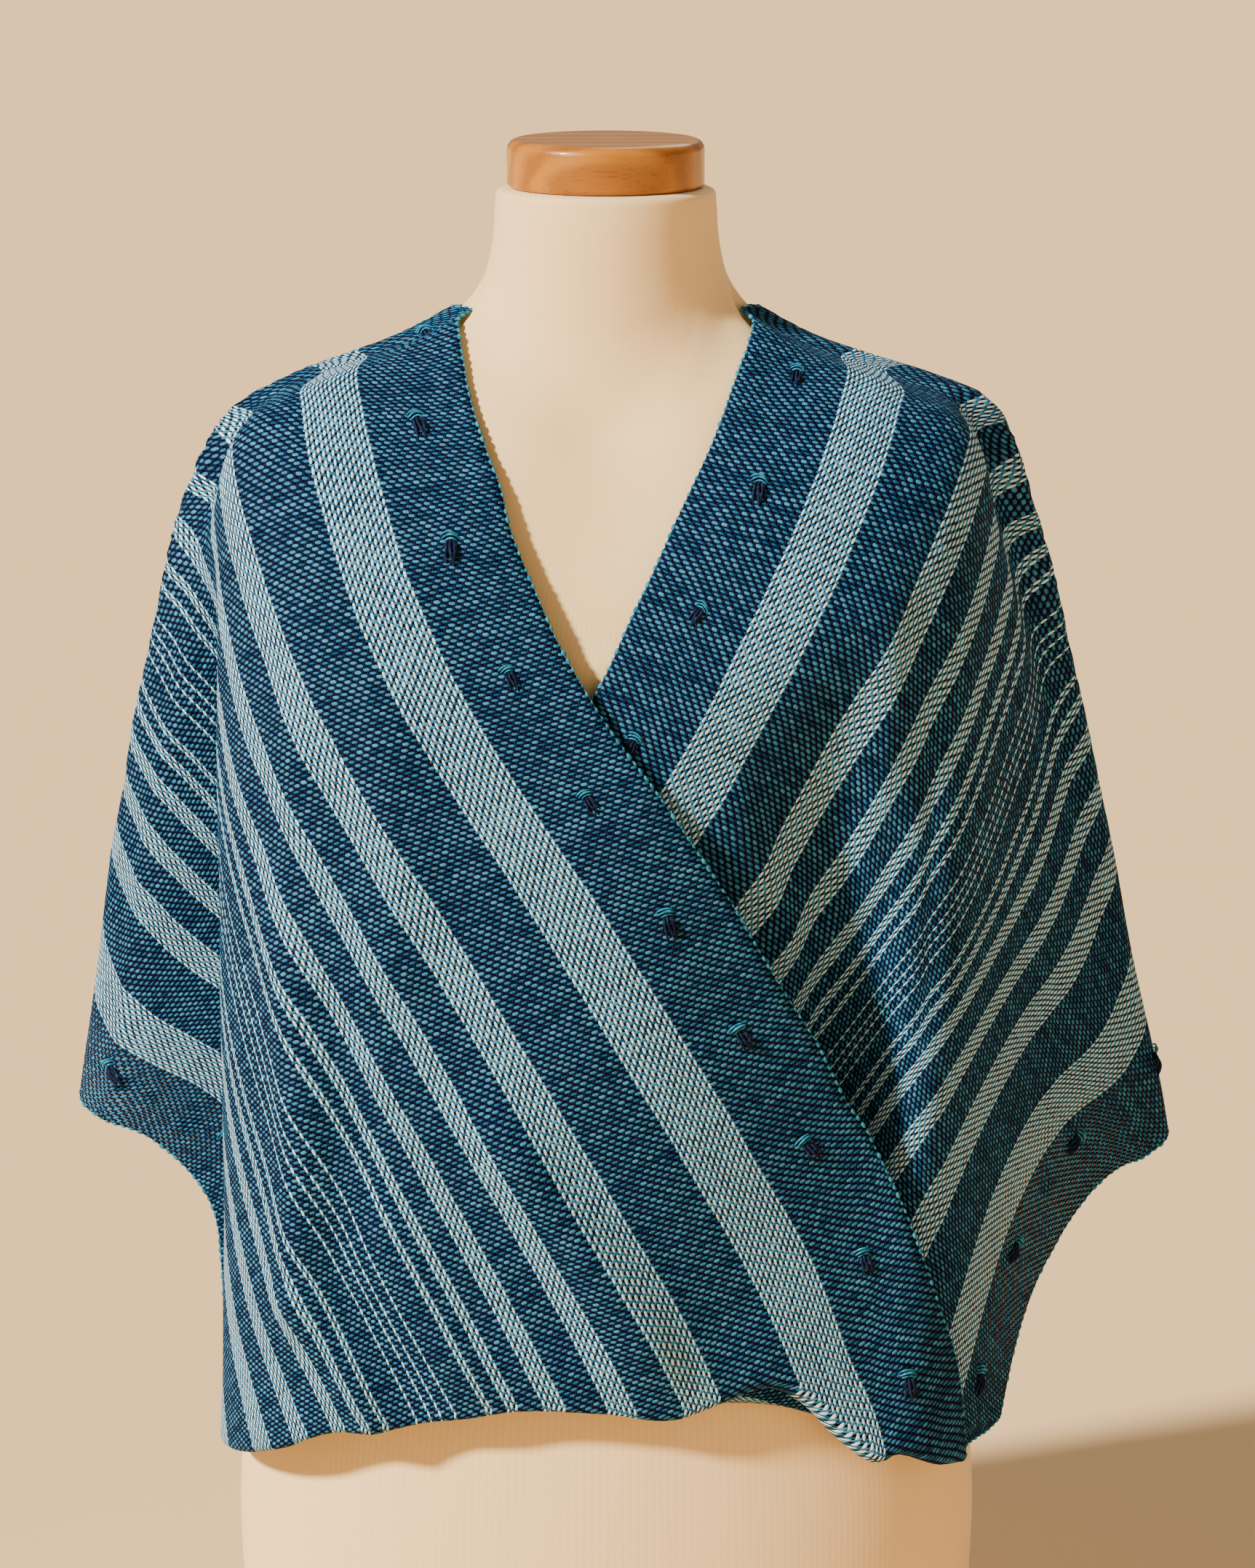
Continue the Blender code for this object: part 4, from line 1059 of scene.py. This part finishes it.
    def build(self) -> bpy.types.Object:
        """Make the band's mesh with its map of metres along and across it."""
        points, start, share = self.lay()
        normals = grid_normals(points)
        self.points, self.normals, self.start, self.share = points, normals, start, share
        rows, columns = points.shape[:2]
        outer = np.arange(rows * columns).reshape(rows, columns)
        inner = outer + rows * columns
        outer_on = np.concatenate([outer, inner[:1, ::-1]])
        inner_on = np.concatenate([inner, outer[:1, ::-1]])
        vertices = np.concatenate([points + normals * self.wall / 2, points - normals * self.wall / 2])
        along = np.concatenate([start, start[-1:] + self.lap])
        across = np.broadcast_to(share * self.band.width, along.shape)
        spots = np.stack([along, across], -1)
        cells = [np.s_[:-1, :-1], np.s_[1:, :-1], np.s_[1:, 1:], np.s_[:-1, 1:]]
        faces = [np.stack([outer_on[c] for c in cells], -1).reshape(-1, 4)]
        maps = [np.stack([spots[c] for c in cells], -2).reshape(-1, 4, 2)]
        turned = [cells[0], cells[3], cells[2], cells[1]]
        faces.append(np.stack([inner_on[c] for c in turned], -1).reshape(-1, 4))
        maps.append(np.stack([spots[c] for c in turned], -2).reshape(-1, 4, 2))
        first, later = np.s_[:-1], np.s_[1:]
        for column, here, there in ((-1, first, later), (0, later, first)):
            faces.append(np.stack([outer_on[here, column], outer_on[there, column],
                                   inner_on[there, column], inner_on[here, column]], -1))
            maps.append(np.stack([spots[here, column], spots[there, column],
                                  spots[there, column], spots[here, column]], -2))
        faces, maps = np.concatenate(faces), np.concatenate(maps)
        mesh = plain_mesh("shawl_band", vertices, [], faces.tolist())
        mesh.uv_layers.new(name="thread").data.foreach_set("uv", maps.astype(np.float32).ravel())
        # Where the material paints light dots in the open weave
        sheer = np.tile(self.sheer_light_dots(start, share + 0 * start).ravel(), 2)
        carried = mesh.attributes.new("sheer", "FLOAT", "POINT")
        carried.data.foreach_set("value", sheer.astype(np.float32))
        piece = finished("shawl_band", mesh, self.finish.material())
        length = float(running_length(points[:, columns // 2])[-1])
        LOG.info("shawl_band: %d rows by %d, %.3f m along its middle", rows, columns, length)
        return piece


class Pattern(Tree):
    """A Geometry Nodes tree with named inputs, put on one helper mesh."""

    def __init__(self, name: str, inputs: dict[str, tuple[str, Any]]) -> None:
        """Make the tree with a geometry input, these inputs and a geometry output."""
        group = bpy.data.node_groups.new(name, "GeometryNodeTree")
        super().__init__(group)
        self.values = {}
        group.interface.new_socket("Geometry", in_out="INPUT", socket_type="NodeSocketGeometry")
        for title, (kind, value) in inputs.items():
            socket = group.interface.new_socket(title, in_out="INPUT", socket_type=kind)
            self.values[socket.identifier] = value
        group.interface.new_socket("Geometry", in_out="OUTPUT", socket_type="NodeSocketGeometry")
        self.start = self.node("NodeGroupInput")

    def given(self, title: str) -> bpy.types.NodeSocket:
        """Return one of the tree's inputs."""
        return self.start.outputs[title]

    def aligned(self, axis: str, vector: Any, pivot: str = "AUTO", turned: Any = None) -> Any:
        """Return a rotation that turns an axis to a vector, on top of another rotation."""
        sockets = {"Vector": vector} | ({} if turned is None else {"Rotation": turned})
        settings = {"axis": axis, "pivot_axis": pivot}
        return self.node("FunctionNodeAlignRotationToVector", settings, sockets).outputs[0]

    def drawn(self, low: Any, high: Any) -> bpy.types.NodeSocket:
        """Return a chance number between two, of the tree's own seed."""
        return self.node("FunctionNodeRandomValue", {"data_type": "FLOAT"}, {
            2: low, 3: high, "Seed": self.given("Seed")}).outputs[1]

    def close(self, points: Any, shape: Any, rotation: Any, scale: Any) -> None:
        """Put a shape on points, realize it, shade it smooth and set the material."""
        placed = self.node("GeometryNodeInstanceOnPoints", {}, {
            "Points": points, "Instance": shape, "Rotation": rotation, "Scale": scale})
        real = self.node("GeometryNodeRealizeInstances", {}, {0: placed.outputs[0]})
        soft = self.node("GeometryNodeSetShadeSmooth", {}, {0: real.outputs[0]})
        dressed = self.node("GeometryNodeSetMaterial", {}, {
            0: soft.outputs[0], "Material": self.given("Material")})
        out = self.node("NodeGroupOutput")
        self.tree.links.new(dressed.outputs[0], out.inputs[0])

    def put_on(self, helper: bpy.types.Object) -> None:
        """Give the helper this tree, its inputs set by identifier."""
        modifier = helper.modifiers.new(self.tree.name, "NODES")
        modifier.node_group = self.tree
        for identifier, value in self.values.items():
            modifier[identifier] = value


@dataclass
class Selvedge:
    """The small turns of the weft along both edges of the band."""

    shawl: ShawlBand
    yarn: Yarn
    spacing: float = 0.00452
    half_length: float = 0.0017
    half_thickness: float = 0.00095
    sizes: tuple[float, float] = (0.75, 1.25)
    seed: int = 5

    def build(self) -> bpy.types.Object:
        """Make the turns on a line along the edges."""
        material = self.yarn.material()
        last = self.shawl.points.shape[1] - 1
        count = len(self.shawl.points)
        lines = np.concatenate([self.shawl.points[:, 0], self.shawl.points[:, last]])
        edges = [(k, k + 1) for k in range(2 * count - 1) if k != count - 1]
        edges += [(count - 1, count), (2 * count - 1, 0)]
        helper = in_scene("selvedge_line", plain_mesh("selvedge_line", lines, edges))
        tree = Pattern("selvedge_turns", {
            "Spacing": ("NodeSocketFloat", self.spacing),
            "Half Length": ("NodeSocketFloat", self.half_length),
            "Half Thickness": ("NodeSocketFloat", self.half_thickness),
            "Seed": ("NodeSocketInt", self.seed), "Material": ("NodeSocketMaterial", material),
        })
        curve = tree.node("GeometryNodeMeshToCurve", {}, {0: tree.given("Geometry")})
        even = tree.node("GeometryNodeResampleCurve", {"mode": "LENGTH"}, {
            "Curve": curve.outputs[0], "Length": tree.given("Spacing")})
        turn = tree.node("GeometryNodeMeshIcoSphere", {}, {"Radius": 1.0, "Subdivisions": 2})
        tangent = tree.node("GeometryNodeInputTangent")
        facing = tree.aligned("X", tangent.outputs[0])
        chance = Value(tree, tree.drawn(*self.sizes))
        thick = chance * Value(tree, tree.given("Half Thickness"))
        size = tree.node("ShaderNodeCombineXYZ", {}, {
            0: chance * Value(tree, tree.given("Half Length")), 1: thick, 2: thick})
        tree.close(even.outputs[0], turn.outputs[0], facing, size.outputs[0])
        tree.put_on(helper)
        piece = applied(helper, "selvedge_turns", material)
        LOG.info("selvedge_turns: %d faces", len(piece.data.polygons))
        return piece


# A row of inlays: the first one's start, how far apart they are, how many, and how far in
# from its edge of the band, in metres
InlayRow = namedtuple("InlayRow", "first spacing count from_neck_edge")
INLAY_ROWS = (InlayRow(-0.8145, 0.0667, 25, 0.025), InlayRow(-0.470, 0.0764, 14, 0.437))
# One strand of an inlay on the cloth, its ends and its lift in millimetres: x down the
# band, y across it
Strand = namedtuple("Strand", "x0 y0 xm ym x1 y1 lift thickness")
CROSS_STRANDS = (
    Strand(-1.5, -4.4, -2.5, -0.4, -0.5, 3.9, 1.5, 0.52),
    Strand(0.0, -3.9, -1.1, 0.3, 0.9, 4.2, 1.9, 0.55),
    Strand(1.3, -3.0, 0.4, 0.4, 2.0, 3.1, 1.2, 0.48),
)
STEM_STRANDS = (
    Strand(0.2, -1.2, 5.4, -2.3, 11.2, -2.6, 1.4, 0.66),
    Strand(0.0, 0.1, 6.0, -0.5, 13.0, 0.6, 1.9, 0.70),
    Strand(0.4, 1.3, 5.2, 2.1, 10.4, 2.9, 1.4, 0.66),
    Strand(0.8, 0.6, 6.4, 1.4, 12.0, 0.2, 2.3, 0.56),
)


@dataclass
class Inlays:
    """Hand-laid tufts along both selvedges: turquoise strands across gathered navy stems."""

    shawl: ShawlBand
    cross_yarn: Yarn
    stem_yarn: Yarn
    lift: float = 0.0009
    least_size: float = 0.85
    most_size: float = 1.15
    sunk: float = 0.5
    sway: float = 0.35
    around: int = 6
    along: int = 8
    seed: int = 3

    def spots(self) -> tuple[list, list, list]:
        """Return the place of each inlay, the way out of the cloth there and down the band."""
        places, outs, runs = [], [], []
        shawl, rng = self.shawl, np.random.default_rng(self.seed)
        for row in INLAY_ROWS:
            column = int(round(row.from_neck_edge / shawl.band.width * shawl.columns))
            line, out = shawl.points[:, column], shawl.normals[:, column]
            for k in range(row.count):
                start = row.first + k * row.spacing
                if not shawl.start[shawl.roll_rows + 4, column] < start < shawl.start[-4, column]:
                    continue
                at = int(np.argmin(np.abs(shawl.start[:, column] - start)))
                way = line[at + 1] - line[at - 1]
                way = (-way if start < 0 else way) / np.linalg.norm(way)
                places.append(line[at] + out[at] * self.lift)
                outs.append(out[at])
                runs.append(way + self.sway * rng.uniform(-1, 1) * np.cross(out[at], way))
        return places, outs, runs

    def motif(self, name: str, strands: tuple[Strand, ...]) -> bpy.types.Object:
        """Make one group of strands, lying flat round the origin, as a helper."""
        vertices, faces = [], []
        t = np.linspace(0, 1, self.along + 1)
        turn = np.arange(self.around) * 2 * math.pi / self.around
        for strand in strands:
            ends = (strand.x0, strand.y0), (strand.xm, strand.ym), (strand.x1, strand.y1)
            x, y = curve_through(*ends, self.along + 1).T
            line = np.stack([x, y, strand.lift * np.sin(math.pi * t) - self.sunk], -1) / 1000
            way = unit(np.gradient(line, axis=0))
            side = unit(np.cross(way, [0.0, 0.0, 1.0]))
            up = np.cross(side, way)
            thick = strand.thickness / 1000 * (0.35 + 0.65 * np.sin(math.pi * t) ** 0.5)[:, None, None]
            ring = side[:, None] * np.cos(turn)[:, None] + up[:, None] * np.sin(turn)[:, None]
            first = len(vertices)
            vertices += (line[:, None] + thick * ring).reshape(-1, 3).tolist()
            faces += [[first + k for k in face] for face in tube_faces(self.along + 1, self.around)]
        return in_scene(name, plain_mesh(name, vertices, [], faces))

    def group(self, name: str, strands: tuple[Strand, ...], yarn: Yarn) -> bpy.types.Object:
        """Make all groups of strands of one yarn."""
        places, outs, runs = self.spots()
        material = yarn.material()
        motif = self.motif(name + "_motif", strands)
        mesh = plain_mesh(name + "_spots", places)
        for title, rows in (("out", outs), ("run", runs)):
            carried = mesh.attributes.new(title, "FLOAT_VECTOR", "POINT")
            carried.data.foreach_set("vector", np.ravel(rows))
        helper = in_scene(name + "_spots", mesh)
        tree = Pattern(name, {
            "Motif": ("NodeSocketObject", motif), "Least Size": ("NodeSocketFloat", self.least_size),
            "Seed": ("NodeSocketInt", self.seed), "Material": ("NodeSocketMaterial", material),
        })
        shape = tree.node("GeometryNodeObjectInfo", {}, {"Object": tree.given("Motif")})
        kind = {"data_type": "FLOAT_VECTOR"}
        out, run = (tree.node("GeometryNodeInputNamedAttribute", kind, {"Name": title}).outputs[0]
                    for title in ("out", "run"))
        facing = tree.aligned("X", run, "Z", tree.aligned("Z", out))
        size = tree.drawn(tree.given("Least Size"), self.most_size)
        tree.close(tree.given("Geometry"), shape.outputs["Geometry"], facing, size)
        tree.put_on(helper)
        piece = applied(helper, name, material)
        bpy.data.objects.remove(motif, do_unlink=True)
        LOG.info("%s: %d inlays", name, len(places))
        return piece

    def build(self) -> list[bpy.types.Object]:
        """Make the strands of both yarns."""
        return [self.group("inlay_cross_strands", CROSS_STRANDS, self.cross_yarn),
                self.group("inlay_stem_strands", STEM_STRANDS, self.stem_yarn)]


@dataclass
class DressForm:
    """The padded form under its jersey, and the turned cap on its neck."""

    surface: HangingSurface
    jersey: Jersey
    wood: TurnedWood
    clearance: tuple[float, float] = (0.0042, 0.0078)
    around: int = 180
    finer: int = 4
    wales: int = 760
    course: float = 0.0012
    cap_radius: float = 0.0487
    cap_bottom: float = 0.7443
    cap_height: float = 0.0235
    cap_rounding: float = 0.0050
    cap_around: int = 128

    @staticmethod
    def ring_points(row: Ring, place: Array) -> Array:
        """Return the points of one ring of the form at places round it."""
        turn = np.mod(place + BACK, ROUND) - BACK
        angle = np.radians(np.interp(np.abs(turn), np.arange(BACK + 1), ANGLES))
        forward = np.cos(angle)
        x = -np.sign(turn) * row.half_width * np.sin(angle)
        y = np.where(forward > 0, -row.front_y, row.back_y) * -forward
        z = row.side_z + (np.where(forward > 0, row.front_z, row.back_z) - row.side_z) * forward**2
        return np.stack([x, y, z], -1)

    def rings(self) -> Array:
        """Return the form's rings, top ring first, with smooth ones between them."""
        place = np.arange(self.around) * ROUND / self.around
        rows = [self.ring_points(row, place) for row in FORM_NECK]
        for ring in FORM_SHOULDERS:
            at = np.full(self.around, ring)
            clear = np.interp(ring, (0.7, 1.6), self.clearance)
            rows.append(self.surface.points(place, at) - self.surface.normals(place, at) * clear)
        rows += [self.ring_points(row, place) for row in FORM_BODY]
        rows = np.array(rows)
        knots = running_length(rows[:, self.around // 4])
        fine = np.concatenate([
            np.linspace(a, b, self.finer, endpoint=False) for a, b in zip(knots, knots[1:])])
        return smooth(np.append(fine, knots[-1]), knots, rows)

    def build_cover(self) -> bpy.types.Object:
        """Make the jersey-covered body."""
        rings = self.rings()
        count, around = rings.shape[:2]
        mesh = plain_mesh("form_cover", rings, [], tube_faces(count, around))
        wale = np.arange(around + 1) / around * self.wales
        up = rings[..., 2] / self.course
        up = np.concatenate([up, up[:, :1]], axis=1)
        spots = np.stack([np.broadcast_to(wale, up.shape), up], -1)
        corners = [spots[:-1, :-1], spots[:-1, 1:], spots[1:, 1:], spots[1:, :-1]]
        sides = np.stack(corners, -2).reshape(-1, 2)
        ends = np.concatenate([spots[0, :-1][::-1], spots[-1, :-1]])
        data = np.concatenate([sides, ends]).astype(np.float32)
        mesh.uv_layers.new(name="knit").data.foreach_set("uv", data.ravel())
        piece = finished("form_cover", mesh, self.jersey.material())
        LOG.info("form_cover: %d rings of %d points", count, around)
        return piece

    def build_cap(self) -> bpy.types.Object:
        """Make the turned cap with its rounded edges."""
        top, small = self.cap_bottom + self.cap_height, self.cap_rounding / 2
        turns = np.linspace(0, math.pi / 2, 9)
        profile = [(self.cap_radius * f, top) for f in (0.30, 0.60, 0.82)]
        profile += [(self.cap_radius - self.cap_rounding * (1 - math.sin(a)),
                     top - self.cap_rounding * (1 - math.cos(a))) for a in turns]
        profile += [(self.cap_radius - small * (1 - math.cos(a)),
                     self.cap_bottom + small * (1 - math.sin(a))) for a in turns]
        profile += [(self.cap_radius * f, self.cap_bottom) for f in (0.70, 0.35)]
        angle = np.arange(self.cap_around) * 2 * math.pi / self.cap_around
        rings = np.array([
            np.stack([-r * np.sin(angle), -r * np.cos(angle), 0 * angle + z], -1) for r, z in profile])
        mesh = plain_mesh("neck_cap", rings, [], tube_faces(*rings.shape[:2]))
        piece = finished("neck_cap", mesh, self.wood.material())
        LOG.info("neck_cap: %d faces", len(mesh.polygons))
        return piece


# The lights: where each shines from, its strength, how wide it is in degrees, its colour
Sun = namedtuple("Sun", "name direction strength angle colour")
SUNS = (
    Sun("key_light", (-1.20, -0.80, 0.92), 8.6, 6.0, (1.0, 0.95, 0.88)),
    Sun("fill_light", (0.9, -0.9, 0.6), 0.20, 40.0, (1.0, 0.95, 0.88)),
    Sun("rear_light", (0.3, 1.0, 0.9), 0.8, 30.0, (1.0, 0.96, 0.90)),
)


@dataclass
class Studio:
    """Plain pale floor, soft light from the front left, and the camera."""

    floor: PaleFloor
    floor_size: float = 200.0
    camera_place: tuple[float, float, float] = (0.0107, -3.5397, 1.1010)
    target: tuple[float, float, float] = (0.0107, 0.0, 0.4450)
    focal_pixels: float = 9900.0
    image_height: float = 2156.0
    sensor: float = 36.0
    air_colour: tuple = linear(248, 236, 218)
    air_strength: float = 0.30

    def build_floor(self) -> bpy.types.Object:
        """Make the floor."""
        half = self.floor_size / 2
        corners = [(-half, -half, 0), (half, -half, 0), (half, half, 0), (-half, half, 0)]
        mesh = plain_mesh("studio_floor", corners, [], [(0, 1, 2, 3)])
        piece = finished("studio_floor", mesh, self.floor.material())
        return piece

    @staticmethod
    def add_sun(sun: Sun) -> None:
        """Add a wide sun that shines from its direction."""
        light = bpy.data.lights.new(sun.name, "SUN")
        light.energy, light.angle, light.color = sun.strength, math.radians(sun.angle), sun.colour
        lamp = in_scene(sun.name, light)
        lamp.rotation_euler = Vector(sun.direction).to_track_quat("Z", "Y").to_euler()

    def build_light(self) -> None:
        """Add the suns and the even light of the air."""
        for sun in SUNS:
            self.add_sun(sun)
        world = bpy.data.worlds.new("studio_air")
        bpy.context.scene.world = world
        world.use_nodes = True
        air = world.node_tree.nodes["Background"]
        air.inputs["Color"].default_value = self.air_colour
        air.inputs["Strength"].default_value = self.air_strength

    def build_camera(self) -> None:
        """Add the camera at the photograph's angle."""
        data = bpy.data.cameras.new("studio_camera")
        data.sensor_fit, data.sensor_height = "VERTICAL", self.sensor
        data.lens = self.focal_pixels * self.sensor / self.image_height
        camera = in_scene("studio_camera", data)
        look = Vector(self.camera_place) - Vector(self.target)
        turned = look.to_track_quat("Z", "Y").to_matrix().to_4x4()
        camera.matrix_world = Matrix.Translation(self.camera_place) @ turned
        bpy.context.scene.camera = camera


def main() -> None:
    """Build each sub-assembly, dress it and set it on the frame."""
    logging.basicConfig(level=logging.INFO, format="%(message)s")
    surface = HangingSurface()
    form = DressForm(surface, Jersey(), TurnedWood())
    cover, cap = form.build_cover(), form.build_cap()
    shawl = ShawlBand(LaidBand(surface), HandwovenCloth())
    band = shawl.build()
    teal_yarn = Yarn("teal_yarn", linear(24, 104, 134), linear(60, 150, 172))
    navy_yarn = Yarn("navy_yarn", linear(9, 17, 40), linear(34, 44, 74))
    turns = Selvedge(shawl, teal_yarn).build()
    turquoise_yarn = Yarn("turquoise_yarn", linear(14, 98, 136), linear(64, 152, 182))
    inlays = Inlays(shawl, turquoise_yarn, navy_yarn).build()

    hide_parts("form_body")
    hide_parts("form_neck_cap")
    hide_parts("shawl_front_crossing", "shawl_front_under", "shawl_left_shoulder",
                "shawl_right_shoulder", "shawl_back_left", "shawl_back_right")
    for piece, slot in ((cover, "jersey_cover"), (cap, "turned_wood"), (band, "handwoven_cloth"),
                        (turns, "handwoven_cloth"), *((p, "handwoven_cloth") for p in inlays)):
        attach(piece, BODY)

    studio = Studio(PaleFloor())
    studio.build_floor()
    studio.build_light()
    studio.build_camera()
    LOG.info("sizes written")


if __name__ == "__main__":
    main()
